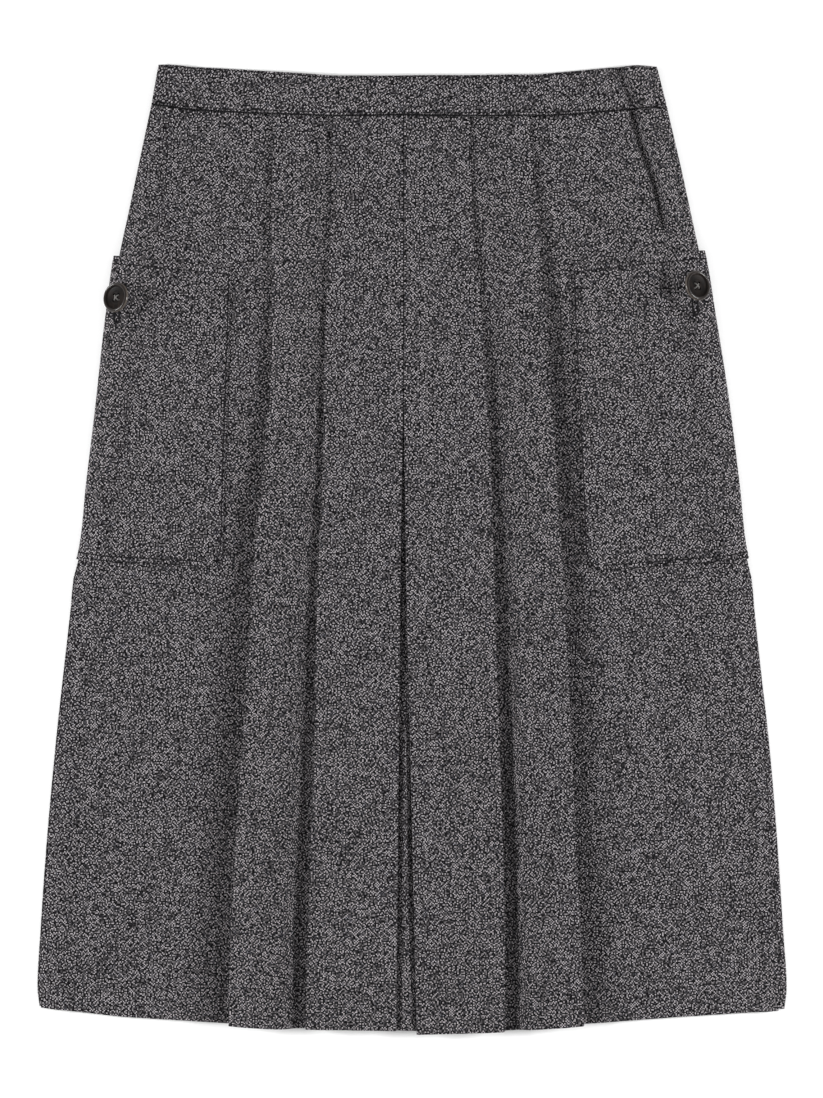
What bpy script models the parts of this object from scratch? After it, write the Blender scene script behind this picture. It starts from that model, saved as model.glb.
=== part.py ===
"""Pleated wool skirt laid flat, front up. Blender script, metres, +Z up.

The skirt lies on the plane z = 0 with its waist towards +Y and its hem towards -Y.
Every cloth piece is a sheet through sections taken across the garment, thickened
to a wall. A section is worked out in millimetres as pairs (out, up): out is the
distance from the middle line towards that half's own side, up is the height.
"""

import math
from collections import namedtuple

import bmesh
import bpy
from mathutils import Euler, Vector

MM = 0.001

# Cloth, seams and layers, in millimetres
CLOTH = 1.1
BAND_WALL = 1.7
TAPE = 0.8
LAYER_GAP = 0.4
SEAM_GAP = 0.3
LAYER_STEP = CLOTH + LAYER_GAP

# The whole garment: top corner of the waistband, lowest point of the hem
BAND_CORNER = 0.9
HEM_POINT = 718.1
CENTRE_BACK = -5.0
BACK_HEM_SHORTER = 1.2
UNDERLAY_HEM = 715.4

# Soft rolled sides: reach over and under, fall to the flat, height of the tip, roundness
ROLL_OVER = 11.0
ROLL_UNDER = 5.0
ROLL_FALL = 16.0
ROLL_TIP = 0.42
ROLL_POWER = 1.8
FALL_PARTS = (0.35, 0.65, 1.0)
SIDE_SEAM_ANGLE = {"left": 20.0, "right": 50.0}
SIDE_SEAM_GAP = 0.4

# Pleats: depth of each turn-under at waist and hem, step from layer to layer at the hem
PLEAT_DEPTH = {"fold_2": (22.0, 36.0), "fold_1": (20.0, 28.0), "flap": (18.0, 30.0)}
HEM_STEP = {
    "left": {"fold_2": 2.6, "fold_1": 2.4, "flap": 2.6},
    "right": {"fold_2": 3.0, "fold_1": 2.3, "flap": 2.9},
}
PLEAT_CLEAR = 2.0
PLEAT_FALL = 12.0
PLEAT_SAG = 0.8
SAG_PER_WIDTH = 0.06
TURN_SEGMENTS = 3

# Where the pocket's back half and the zip lie, what is above them rises
POCKET_MARGIN = 2.0
POCKET_RAMP = 14.0
ZIP_LIFT = 1.3
ZIP_MARGIN = 14.0
ZIP_RAMP = 30.0

# Patch pockets: the mouth at the side and at the inner edge, its flare, rows below it
POCKET_MOUTH = {"left": (142.6, 150.5), "right": (138.6, 149.0)}
POCKET_FLARE = 14.0
POCKET_ROWS = (190.0, 250.0, 310.0, 348.0)

# Concealed zip and its slider with the tab
ZIP_HALF_WIDTH = 12.0
SLIDER_SIZE = Vector((6.5, 8.5, 1.9))
SLIDER_DOWN = 19.0
TAB_SIZE = Vector((4.0, 15.0, 0.8))
SLIDER_BEVEL = 0.25

# Buttons: tilted over the sides and a little towards the waist
BUTTON_STEPS = 28
BUTTON_TILT = 34.0
BUTTON_NOD = 7.0
BUTTON_SEAT = 0.35
HOLE_RADIUS = 0.95
HOLE_FROM_MIDDLE = 1.85
HOLE_SIDES = 10
BUTTON_PLACE = {"left": (217.3, 174.2), "right": (209.0, 165.7)}

# Half profile of a button: middle of its back, its rim, middle of its dish
ButtonPoint = namedtuple("ButtonPoint", "radius height")
BUTTON_PROFILE = tuple(ButtonPoint(*row) for row in (
    (0.0, 0.0), (8.2, 0.0), (10.2, 0.7), (11.1, 1.9), (11.0, 3.0), (10.3, 3.8),
    (9.5, 3.9), (8.8, 3.4), (8.4, 2.4), (4.6, 1.9), (0.0, 1.8),
))

# One row for each section from waist seam to hem. roll: height of the rolled sides.
# on_pocket, on_zip: whether the pocket's back half and the zip lie below. opened:
# how far the pleats have opened from pressed to their spread at the hem.
Shape = namedtuple("Shape", "down roll on_pocket on_zip opened")
SHAPES = tuple(Shape(*row) for row in (
    (36.0, 6.4, 0, 1, 0.00),
    (80.0, 6.8, 0, 1, 0.00),
    (114.0, 7.6, 0, 1, 0.00),
    (134.0, 8.4, 1, 1, 0.00),
    (190.0, 9.4, 1, 1, 0.03),
    (250.0, 8.6, 1, 0, 0.10),
    (310.0, 7.6, 1, 0, 0.22),
    (366.0, 6.8, 1, 0, 0.35),
    (380.0, 6.6, 1, 0, 0.38),
    (402.0, 6.6, 0, 0, 0.43),
    (440.0, 6.4, 0, 0, 0.52),
    (500.0, 6.2, 0, 0, 0.65),
    (590.0, 6.0, 0, 0, 0.84),
    (640.0, 5.8, 0, 0, 0.92),
    (685.0, 5.4, 0, 0, 0.98),
    (716.0, 5.0, 0, 0, 1.00),
))
WAIST, HEM_END = SHAPES[0].down, SHAPES[-1].down

# The lines of each half at the same sections: side outline, outline and inner edge of
# the pocket, the two knife folds and the fold of the centre flap.
Lines = namedtuple("Lines", "side pocket_side pocket_edge fold_2 fold_1 flap")
LINES = {
    "left": tuple(Lines(*row) for row in (
        (193.3, 196.0, 134.0, 103.0, 59.3, 6.6),
        (203.7, 206.0, 134.0, 103.4, 59.3, 6.6),
        (210.9, 214.0, 134.0, 103.6, 60.0, 6.6),
        (215.2, 219.2, 134.0, 103.7, 60.8, 6.6),
        (223.9, 227.5, 135.2, 104.0, 64.0, 6.6),
        (231.3, 234.2, 137.2, 106.4, 65.5, 6.7),
        (239.1, 241.4, 139.1, 111.0, 66.4, 7.6),
        (246.7, 248.4, 140.7, 116.1, 69.0, 8.5),
        (250.6, 252.3, 141.2, 117.2, 69.7, 8.6),
        (252.9, 254.5, 142.5, 118.7, 70.5, 8.9),
        (257.2, 259.0, 144.5, 121.2, 71.4, 9.3),
        (263.8, 265.5, 148.0, 125.0, 72.4, 9.8),
        (271.9, 273.5, 152.0, 130.8, 75.2, 10.6),
        (275.3, 277.0, 154.5, 133.4, 76.9, 11.1),
        (277.7, 279.5, 156.0, 134.9, 78.2, 11.5),
        (276.2, 278.0, 157.0, 135.4, 78.8, 11.8),
    )),
    "right": tuple(Lines(*row) for row in (
        (189.3, 192.0, 116.0, 86.4, 42.8, -6.3),
        (199.9, 202.0, 117.0, 90.2, 43.6, -6.3),
        (207.2, 210.0, 118.0, 93.2, 44.7, -6.3),
        (211.4, 215.6, 118.3, 95.0, 46.4, -6.3),
        (222.4, 225.4, 119.8, 99.0, 51.4, -6.3),
        (232.3, 234.8, 122.7, 102.7, 55.6, -6.2),
        (240.3, 242.4, 125.6, 106.7, 58.4, -5.5),
        (247.7, 249.3, 127.9, 110.6, 60.1, -4.6),
        (251.2, 252.8, 129.0, 111.6, 60.6, -4.4),
        (253.4, 255.0, 131.5, 112.8, 61.2, -4.0),
        (257.4, 259.0, 134.0, 114.6, 62.3, -3.2),
        (264.2, 266.0, 138.0, 117.3, 64.4, -1.7),
        (271.6, 273.0, 143.0, 121.3, 67.3, 0.4),
        (274.8, 276.5, 146.0, 123.9, 68.2, 1.6),
        (277.6, 279.0, 148.0, 126.0, 68.5, 2.6),
        (276.0, 278.0, 149.0, 127.0, 68.3, 3.2),
    )),
}

# Edges that run across the garment: x from the middle line, and distance down
Edge = namedtuple("Edge", "x down")
BAND_TOP = tuple(Edge(*row) for row in (
    (-188.0, 0.9), (-180.0, 1.2), (-162.0, 3.0), (-120.0, 5.2), (-60.0, 9.3), (-21.0, 9.8),
    (65.0, 8.9), (92.0, 8.5), (116.0, 6.3), (166.0, 1.9), (181.0, 2.6),
))
HEM = {
    "left": tuple(Edge(*row) for row in (
        (-277.0, 699.0), (-215.0, 706.0), (-147.0, 710.2), (-100.0, 714.1), (-52.0, 714.6),
        (-11.0, 715.4),
    )),
    "right": tuple(Edge(*row) for row in (
        (3.0, 718.1), (68.0, 716.2), (127.0, 711.5), (191.0, 706.6), (277.0, 701.2),
    )),
}
# The waist seam's distance down where band and panels share a column of points: at the
# centre back, the inner fold, both ends of the pocket's ramp, the roll's foot, its top, the side
SEAM_DOWN = {
    "left": (38.4, 38.9, 36.7, 35.7, 33.8, 31.7, 30.5),
    "right": (38.4, 39.1, 38.4, 37.6, 33.7, 32.5, 34.2),
}
ZIP_LEVELS = (
    (13.0, BAND_WALL + SEAM_GAP), (40.0, BAND_WALL + SEAM_GAP), (54.0, CLOTH + SEAM_GAP),
    (190.0, CLOTH + SEAM_GAP),
)

# Foot of the pocket: distance in from its inner edge, and distance down
PocketFoot = namedtuple("PocketFoot", "inside down")
POCKET_FOOT = {
    "left": tuple(PocketFoot(*row) for row in (
        (0.0, 359.0), (4.0, 369.4), (12.0, 373.6), (107.0, 365.4),
    )),
    "right": tuple(PocketFoot(*row) for row in (
        (0.0, 360.0), (4.0, 371.0), (12.0, 376.6), (121.0, 364.1),
    )),
}
POCKET_CORNER = tuple(point.inside for point in POCKET_FOOT["left"][:3])

# Waistband: side outline at its top edge, roll, rise over the pleats
BAND_SIDE_TOP = {"left": 188.0, "right": 181.4}
BAND_ROLL = 6.2
BAND_ANGLES = (-90.0, -60.0, -30.0, 0.0, 30.0, 60.0, 90.0)
BAND_OVER_PLEATS = 2.5
BAND_BY_ZIP = (36.0, 24.0, 14.0)

WOOL = {"colour": (0.100, 0.095, 0.098), "roughness": 0.92, "metallic": 0.0}
HORN = {"colour": (0.016, 0.013, 0.012), "roughness": 0.25, "metallic": 0.0}
ZIP_TAPE = {"colour": (0.030, 0.030, 0.032), "roughness": 0.80, "metallic": 0.0}
ZIP_METAL = {"colour": (0.240, 0.235, 0.230), "roughness": 0.35, "metallic": 1.0}


def between(a, b, part):
    return a + (b - a) * part


def ease(part):
    """Smooth step from 0 to 1."""
    part = min(max(part, 0.0), 1.0)
    return part * part * (3.0 - 2.0 * part)


def read(table, at):
    """The second column of a table, at a value of its first column."""
    if at <= table[0][0]:
        return table[0][1]
    for low, high in zip(table, table[1:]):
        if at <= high[0]:
            return between(low[1], high[1], (at - low[0]) / (high[0] - low[0]))
    return table[-1][1]


def facing(half):
    """-1 for the half towards -X, 1 for the half towards +X."""
    return -1.0 if half == "left" else 1.0


def section_at(half, down):
    """Shape and lines at a distance down, between the two sections around it."""
    index = sum(1 for shape in SHAPES[1:-1] if shape.down <= down)
    low, high = SHAPES[index], SHAPES[index + 1]
    part = (down - low.down) / (high.down - low.down)
    shape = Shape(*(between(a, b, part) for a, b in zip(low, high)))
    line = Lines(*(between(a, b, part) for a, b in zip(LINES[half][index], LINES[half][index + 1])))
    return shape, line


def ground(out, line, shape):
    """How far the pocket's back half lifts what lies above it."""
    inside = line.pocket_edge - POCKET_MARGIN - out
    return LAYER_STEP * shape.on_pocket * (1.0 - ease(inside / POCKET_RAMP))


def over_zip(half, out, shape):
    """How far the zip lifts the front above it."""
    aside = abs(facing(half) * out - CENTRE_BACK) - ZIP_MARGIN
    return ZIP_LIFT * shape.on_zip * (1.0 - ease(aside / ZIP_RAMP))


def front_level(half, out, line, shape):
    """Middle of the front's wall where it lies straight on the back."""
    return CLOTH / 2 + LAYER_STEP + ground(out, line, shape) + over_zip(half, out, shape)


def roll_point(angle, side, low, high, wall):
    """A point of a rolled side's wall, from -90 degrees below to 90 degrees above."""
    side, low, high = side - wall / 2, low + wall / 2, high - wall / 2
    tip = between(low, high, ROLL_TIP)
    turned = math.radians(angle)
    power = 1.0 if angle < 0 else 2.0 / ROLL_POWER
    reach = ROLL_UNDER if angle < 0 else ROLL_OVER
    rise = low - tip if angle < 0 else high - tip
    out = side - reach + reach * abs(math.cos(turned)) ** power
    return out, tip + rise * abs(math.sin(turned)) ** power


def roll_of_side(half, line, shape):
    """Draws points of the body's roll, and gives the angles of its side seam's two edges."""
    low = ground(line.side, line, shape)
    high = low + shape.roll

    def point(angle):
        return roll_point(angle, line.side, low, high, CLOTH)

    seam = SIDE_SEAM_ANGLE[half]
    per_degree = math.dist(point(seam - 1.0), point(seam + 1.0)) / 2.0
    half_gap = SIDE_SEAM_GAP / 2.0 / per_degree
    return point, seam - half_gap, seam + half_gap


def seam_stations(half, line):
    """Columns that the waistband and the panels share, so that their seam has one line."""
    ramp_end = line.pocket_edge - POCKET_MARGIN - POCKET_RAMP
    foot = line.side - ROLL_OVER - ROLL_FALL
    middle = facing(half) * CENTRE_BACK
    return middle, line.fold_1, ramp_end, line.pocket_edge, foot, line.side - ROLL_OVER, line.side


def waist_seam(x):
    """The waist seam's distance down at a place across the garment."""
    half = "left" if x < CENTRE_BACK else "right"
    stations = seam_stations(half, LINES[half][0])
    return read(tuple(zip(stations, SEAM_DOWN[half])), facing(half) * x)


def side_of_back(half, line, shape):
    """The back's wall from the pocket's inner edge out to the side seam."""
    stations = [line.pocket_edge + inside for inside in POCKET_CORNER]
    stations += [line.side - ROLL_OVER - ROLL_FALL, line.side - ROLL_OVER]
    points = [(out, CLOTH / 2 + ground(out, line, shape)) for out in stations]
    roll, below_seam, _ = roll_of_side(half, line, shape)
    return points + [roll(angle) for angle in (-90.0, -60.0, -30.0, 0.0, below_seam)]


def side_of_front(half, line, shape):
    """The front's wall from the side seam in to the pocket's inner edge."""
    roll, _, above_seam = roll_of_side(half, line, shape)
    points = [roll(between(above_seam, 90.0, part)) for part in (0.0, *FALL_PARTS)]
    top = points[-1][1]
    for part in FALL_PARTS:
        out = line.side - ROLL_OVER - ROLL_FALL * part
        points.append((out, between(top, front_level(half, out, line, shape), ease(part))))
    for inside in reversed(POCKET_CORNER):
        out = line.pocket_edge + inside
        points.append((out, front_level(half, out, line, shape)))
    return points


def turn(out, up, radius, start, end):
    """Points of a fold's turn round a centre. Angle 0 points to the middle line, 90 up."""
    points = []
    for i in range(TURN_SEGMENTS + 1):
        angle = math.radians(between(start, end, i / TURN_SEGMENTS))
        points.append((out - radius * math.cos(angle), up + radius * math.sin(angle)))
    return points


def pleat_depth(name, shape):
    at_waist, at_hem = PLEAT_DEPTH[name]
    return between(at_waist, at_hem, (shape.down - WAIST) / (HEM_END - WAIST))


def pleat_step(half, name, shape):
    return between(LAYER_STEP, HEM_STEP[half][name], shape.opened)


def knife_pleat(half, name, line, shape):
    """The wall runs in under the fold, turns back out, turns at the fold, runs in on top."""
    fold, step = getattr(line, name), pleat_step(half, name, shape)
    under = fold - PLEAT_CLEAR
    inner = fold - pleat_depth(name, shape) + step / 2
    outer = fold - CLOTH / 2 - step / 2
    landing = fold - pleat_depth(name, shape) - PLEAT_CLEAR
    points = [(under, front_level(half, under, line, shape))]
    points += turn(inner, front_level(half, inner, line, shape) + step / 2, step / 2, -90.0, 90.0)
    points += turn(outer, front_level(half, outer, line, shape) + 1.5 * step, step / 2, 270.0, 90.0)
    points.append((landing, front_level(half, landing, line, shape) + 2 * step))
    return points


def fall_inside(half, name, line, shape):
    """Inside a knife pleat's layers the panel comes down to the back."""
    start = getattr(line, name) - pleat_depth(name, shape) - PLEAT_CLEAR
    height = 2 * pleat_step(half, name, shape)
    points = []
    for part in FALL_PARTS:
        out = start - PLEAT_FALL * part
        points.append((out, front_level(half, out, line, shape) + height * (1.0 - ease(part))))
    return points


def centre_flap(half, line, shape):
    """From the inner knife pleat on to the centre pleat, round its fold and back out below."""
    fold_step, step = pleat_step(half, "fold_1", shape), pleat_step(half, "flap", shape)
    start = line.fold_1 - pleat_depth("fold_1", shape) - PLEAT_CLEAR
    edge = line.flap + pleat_depth("flap", shape)
    end = edge + PLEAT_CLEAR
    sag = min(PLEAT_SAG, SAG_PER_WIDTH * (start - end))
    points = []
    for part, dip in ((1 / 3, sag), (2 / 3, sag), (1.0, 0.0)):
        out = between(start, end, part)
        height = 2 * between(fold_step, step, part) - dip
        points.append((out, front_level(half, out, line, shape) + height))
    fold = line.flap + CLOTH / 2 + step / 2
    points += turn(fold, front_level(half, fold, line, shape) + 1.5 * step, step / 2, 90.0, -90.0)
    for part in (0.5, 1.0):
        out = between(fold, edge, part)
        points.append((out, front_level(half, out, line, shape) + between(step, LAYER_STEP, part)))
    return points


def ramp_stations(line):
    """Where the walls come down beside the pocket, from its edge inwards."""
    full = line.pocket_edge - POCKET_MARGIN
    return [full - POCKET_RAMP * part for part in (0.0, *FALL_PARTS)]


def front_section(half, index):
    shape, line = SHAPES[index], LINES[half][index]
    points = side_of_front(half, line, shape)
    points += [(out, front_level(half, out, line, shape)) for out in ramp_stations(line)]
    points += knife_pleat(half, "fold_2", line, shape)
    points += fall_inside(half, "fold_2", line, shape)
    points += knife_pleat(half, "fold_1", line, shape)
    return points + centre_flap(half, line, shape)


def back_section(half, index):
    shape, line = SHAPES[index], LINES[half][index]
    stations = [facing(half) * CENTRE_BACK + SEAM_GAP / 2, line.fold_1, *reversed(ramp_stations(line))]
    points = [(out, CLOTH / 2 + ground(out, line, shape)) for out in stations]
    return points + side_of_back(half, line, shape)


def underlay_section(index):
    """The panel behind the centre pleat as (x, up), each edge below the edge of a flap."""
    shape = SHAPES[index]
    sides = []
    for half in ("left", "right"):
        line = LINES[half][index]
        edge = line.flap + pleat_depth("flap", shape)
        points = []
        for part in (0.0, 1 / 3, 2 / 3):
            out = between(edge, facing(half) * CENTRE_BACK, part)
            points.append((out, front_level(half, out, line, shape)))
        sides.append(in_x(half, points))
    centre = (CENTRE_BACK, front_level("right", CENTRE_BACK, LINES["right"][index], shape))
    return sides[0] + [centre] + sides[1][::-1]


def rows_between(sections, head, foot):
    """Rows of (x, down, up). The first row follows the head's edge, the last the foot's."""
    rows = []
    for shape, points in zip(SHAPES, sections):
        rows.append([(x, shape.down, up) for x, up in points])
    rows[0] = [(x, head(x), up) for x, _, up in rows[0]]
    rows[-1] = [(x, foot(x), up) for x, _, up in rows[-1]]
    return rows


def panel_head(x):
    return waist_seam(x) + SEAM_GAP / 2


def in_x(half, points):
    return [(facing(half) * out, up) for out, up in points]


def material(name, look):
    made = bpy.data.materials.new(name)
    made.use_nodes = True
    surface = made.node_tree.nodes["Principled BSDF"]
    surface.inputs["Base Color"].default_value = (*look["colour"], 1.0)
    surface.inputs["Roughness"].default_value = look["roughness"]
    surface.inputs["Metallic"].default_value = look["metallic"]
    made.diffuse_color = (*look["colour"], 1.0)
    return made


def in_place(x, down, up):
    """Millimetres across, down and up to Blender's metres, with the garment's middle at y = 0."""
    return Vector((x, (BAND_CORNER + HEM_POINT) / 2 - down, up)) * MM


def add_object(name, shape, look):
    mesh = bpy.data.meshes.new(name)
    shape.to_mesh(mesh)
    shape.free()
    made = bpy.data.objects.new(name, mesh)
    mesh.materials.append(material(f"{name}_finish", look))
    bpy.context.scene.collection.objects.link(made)
    return made


def cloth(name, rows, wall, look):
    """A grid bent through rows of (x, down, up) points, then thickened to both sides."""
    along, across = len(rows) - 1, len(rows[0]) - 1
    sheet = bmesh.new()
    bmesh.ops.create_grid(sheet, x_segments=across, y_segments=along, size=0.5)
    for vert in sheet.verts:
        column = round((vert.co.x + 0.5) * across)
        row = round((vert.co.y + 0.5) * along)
        vert.co = in_place(*rows[row][column])
    made = add_object(name, sheet, look)
    made.data.shade_smooth()
    thick = made.modifiers.new("Cloth wall", "SOLIDIFY")
    thick.thickness = wall * MM
    thick.offset = 0.0
    thick.use_even_offset = True
    return made


def make_front(half):
    sections = [in_x(half, front_section(half, i)) for i in range(len(SHAPES))]
    rows = rows_between(sections, panel_head, lambda x: read(HEM[half], x))
    return cloth(f"front_{half}", rows, CLOTH, WOOL)


def make_back(half):
    sections = [in_x(half, back_section(half, i)) for i in range(len(SHAPES))]
    rows = rows_between(sections, panel_head, lambda x: read(HEM[half], x) - BACK_HEM_SHORTER)
    return cloth(f"back_{half}", rows, CLOTH, WOOL)


def make_underlay():
    sections = [underlay_section(i) for i in range(len(SHAPES))]
    rows = rows_between(sections, panel_head, lambda x: UNDERLAY_HEM)
    return cloth("centre_underlay", rows, CLOTH, WOOL)


def moved_out(points, distance):
    """The path moved to its left by a distance, with mitred corners."""
    lefts = []
    for a, b in zip(points, points[1:]):
        length = math.dist(a, b)
        lefts.append(((a[1] - b[1]) / length, (b[0] - a[0]) / length))
    moved = []
    for point, first, last in zip(points, [lefts[0]] + lefts, lefts + [lefts[-1]]):
        mitre = distance / (1.0 + first[0] * last[0] + first[1] * last[1])
        moved.append((point[0] + (first[0] + last[0]) * mitre, point[1] + (first[1] + last[1]) * mitre))
    return moved


def pocket_section(half, down):
    """The pocket's path from front to back, made from the panels' points and moved out."""
    shape, line = section_at(half, down)
    panels = side_of_front(half, line, shape)[::-1] + side_of_back(half, line, shape)[:-1][::-1]
    flare = max(line.pocket_side - line.side - LAYER_STEP, 0.0)
    path = []
    for out, up in moved_out(panels, LAYER_STEP):
        path.append((out + flare * ease(1.0 - (line.side - out) / POCKET_FLARE), up))
    return path


def make_pocket(half):
    """Mouth and foot slant, so each column of points is read at its own distances down."""
    at_side, at_edge = POCKET_MOUTH[half]
    _, line = section_at(half, at_side)
    columns = []
    for column, (out, _) in enumerate(pocket_section(half, at_side)):
        inside = max(out - line.pocket_edge, 0.0)
        mouth = between(at_edge, at_side, inside / (line.pocket_side - line.pocket_edge))
        foot = read(POCKET_FOOT[half], inside)
        points = []
        for down in (mouth, *POCKET_ROWS, foot):
            out_here, up = pocket_section(half, down)[column]
            points.append((facing(half) * out_here, down, up))
        columns.append(points)
    return cloth(f"pocket_{half}", [list(row) for row in zip(*columns)], CLOTH, WOOL)


def band_half(half, side):
    """Half of the waistband's section, from the centre back round the side to the front."""
    line = LINES[half][0]._replace(side=side)
    middle, fold_1, ramp_end, pocket_edge, foot, roll, _ = seam_stations(half, line)
    lying = BAND_WALL + LAYER_GAP + BAND_WALL / 2
    on_back = (middle + SEAM_GAP / 2, fold_1, ramp_end, pocket_edge, foot, roll)
    points = [(out, BAND_WALL / 2) for out in on_back]
    points += [roll_point(angle, side, 0.0, BAND_ROLL, BAND_WALL) for angle in BAND_ANGLES]
    top = points[-1][1]
    for part in FALL_PARTS:
        points.append((side - ROLL_OVER - ROLL_FALL * part, between(top, lying, ease(part))))
    points.append((pocket_edge, lying))
    for part in (0.0, *FALL_PARTS):
        out = between(ramp_end, line.fold_2 - PLEAT_CLEAR, part)
        points.append((out, lying + BAND_OVER_PLEATS * ease(part)))
    for out in (fold_1, *(middle + aside for aside in BAND_BY_ZIP)):
        points.append((out, lying + BAND_OVER_PLEATS + over_zip(half, out, SHAPES[0])))
    return points


def make_waistband():
    """One strip from centre back to centre back, between its top edge and the waist seam."""
    def top_edge(x):
        return read(BAND_TOP, x)

    def sewn_edge(x):
        return waist_seam(x) - SEAM_GAP / 2

    sides = {half: LINES[half][0].side for half in BAND_SIDE_TOP}
    rows = []
    for edge, side in ((top_edge, BAND_SIDE_TOP), (sewn_edge, sides)):
        path = in_x("left", band_half("left", side["left"]))
        path += in_x("right", band_half("right", side["right"]))[::-1]
        rows.append([(x, edge(x), up) for x, up in path])
    return cloth("waistband", rows, BAND_WALL, WOOL)


def make_zip():
    """The closed tape, lying on the inner face of band and back."""
    across = [CENTRE_BACK + x for x in (-ZIP_HALF_WIDTH, 0.0, ZIP_HALF_WIDTH)]
    rows = []
    for down, level in ZIP_LEVELS:
        rows.append([(x, down, level + TAPE / 2) for x in across])
    return cloth("back_zip", rows, TAPE, ZIP_TAPE)


def make_slider():
    """A block with its tab drawn out of the end towards the hem."""
    slider = bmesh.new()
    made = bmesh.ops.create_cube(slider, size=1.0)["verts"]
    bmesh.ops.scale(slider, vec=SLIDER_SIZE, verts=made)
    bmesh.ops.translate(slider, vec=(0.0, 0.0, SLIDER_SIZE.z / 2), verts=made)
    slider.faces.ensure_lookup_table()
    end = min(slider.faces, key=lambda face: face.calc_center_median().y)
    bmesh.ops.inset_region(slider, faces=[end], thickness=SLIDER_BEVEL)
    for vert in end.verts:
        vert.co.x = math.copysign(TAB_SIZE.x / 2, vert.co.x)
        vert.co.z = SLIDER_BEVEL + (TAB_SIZE.z if vert.co.z > SLIDER_SIZE.z / 2 else 0.0)
    drawn = bmesh.ops.extrude_discrete_faces(slider, faces=[end])["faces"]
    bmesh.ops.translate(slider, vec=(0.0, -TAB_SIZE.y, 0.0), verts=drawn[0].verts)
    bmesh.ops.bevel(
        slider, geom=list(slider.edges), offset=SLIDER_BEVEL / 2, segments=1, profile=0.5,
        affect="EDGES", material=-1,
    )
    bmesh.ops.scale(slider, vec=(MM, MM, MM), verts=slider.verts)
    made = add_object("zip_slider", slider, ZIP_METAL)
    made.location = in_place(CENTRE_BACK, SLIDER_DOWN, ZIP_LEVELS[0][1] + TAPE + SEAM_GAP)
    return made


def cloth_height(half, out, down):
    """Top of the pocket's outer face at a place, or the table where there is no pocket."""
    face = moved_out(pocket_section(half, down), CLOTH / 2)
    heights = [0.0]
    for a, b in zip(face, face[1:]):
        low, high = sorted((a, b))
        if low[0] <= out <= high[0] and high[0] > low[0]:
            heights.append(between(low[1], high[1], (out - low[0]) / (high[0] - low[0])))
    return max(heights)


def button_turn(half):
    return Euler((-math.radians(BUTTON_NOD), facing(half) * math.radians(BUTTON_TILT), 0.0))


def button_height(half):
    """Height of the button's back at its middle, so that it just clears the pocket."""
    out, down = BUTTON_PLACE[half]
    tilt = button_turn(half).to_matrix()
    needed = []
    for ring in BUTTON_PROFILE[:5]:
        for step in range(BUTTON_STEPS):
            angle = math.tau * step / BUTTON_STEPS
            rim = Vector((ring.radius * math.cos(angle), ring.radius * math.sin(angle), ring.height))
            rim.rotate(tilt)
            needed.append(cloth_height(half, out + facing(half) * rim.x, down - rim.y) - rim.z)
    return max(needed) + BUTTON_SEAT


def hole_cutter():
    """Four rods in a square, as one cutter for the button's holes."""
    rods = bmesh.new()
    length = 4 * BUTTON_PROFILE[-1].height
    for corner in range(4):
        angle = math.radians(45.0 + 90.0 * corner)
        rod = bmesh.ops.create_cone(
            rods, cap_ends=True, cap_tris=False, segments=HOLE_SIDES,
            radius1=HOLE_RADIUS * MM, radius2=HOLE_RADIUS * MM, depth=length * MM,
        )["verts"]
        away = Vector((math.cos(angle), math.sin(angle), 0.0)) * HOLE_FROM_MIDDLE * math.sqrt(2.0)
        bmesh.ops.translate(rods, vec=away * MM, verts=rod)
    cutter = add_object("button_holes", rods, HORN)
    cutter.hide_render = True
    cutter.display_type = "WIRE"
    return cutter


def make_button(half, cutter):
    turned = bmesh.new()
    profile = [turned.verts.new(Vector((point.radius, 0.0, point.height)) * MM) for point in BUTTON_PROFILE]
    edges = [turned.edges.new(pair) for pair in zip(profile, profile[1:])]
    bmesh.ops.spin(
        turned, geom=profile + edges, cent=(0.0, 0.0, 0.0), axis=(0.0, 0.0, 1.0),
        angle=math.tau, steps=BUTTON_STEPS, use_merge=True,
    )
    bmesh.ops.remove_doubles(turned, verts=turned.verts, dist=1e-6)
    bmesh.ops.recalc_face_normals(turned, faces=turned.faces)
    button = add_object(f"button_{half}", turned, HORN)
    button.data.shade_smooth()
    holes = button.modifiers.new("Holes", "BOOLEAN")
    holes.operation = "DIFFERENCE"
    holes.solver = "EXACT"
    holes.object = cutter
    out, down = BUTTON_PLACE[half]
    button.location = in_place(facing(half) * out, down, button_height(half))
    button.rotation_euler = button_turn(half)
    return button


def main():
    for old in list(bpy.data.objects):
        bpy.data.objects.remove(old)
    make_waistband()
    make_underlay()
    for half in ("left", "right"):
        make_back(half)
        make_front(half)
        make_pocket(half)
        cutter = hole_cutter()
        button = make_button(half, cutter)
        cutter.name = f"button_holes_{half}"
        cutter.parent = button
    make_zip()
    make_slider()


main()
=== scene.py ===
"""The look of a pleated wool skirt that lies flat with its front up, seen from straight above.

Lengths are in millimetres in the garment's own layout: x across from the middle line, down
from the top corner of the waistband towards the hem, up from the surface below. A section
is worked out as pairs (out, up): out is the distance from the middle line towards that
half's own side. Only finished meshes are in metres.
"""
import math
from collections import namedtuple

import bmesh
import bpy
import numpy as np
from mathutils import Euler, Matrix, Vector


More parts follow.
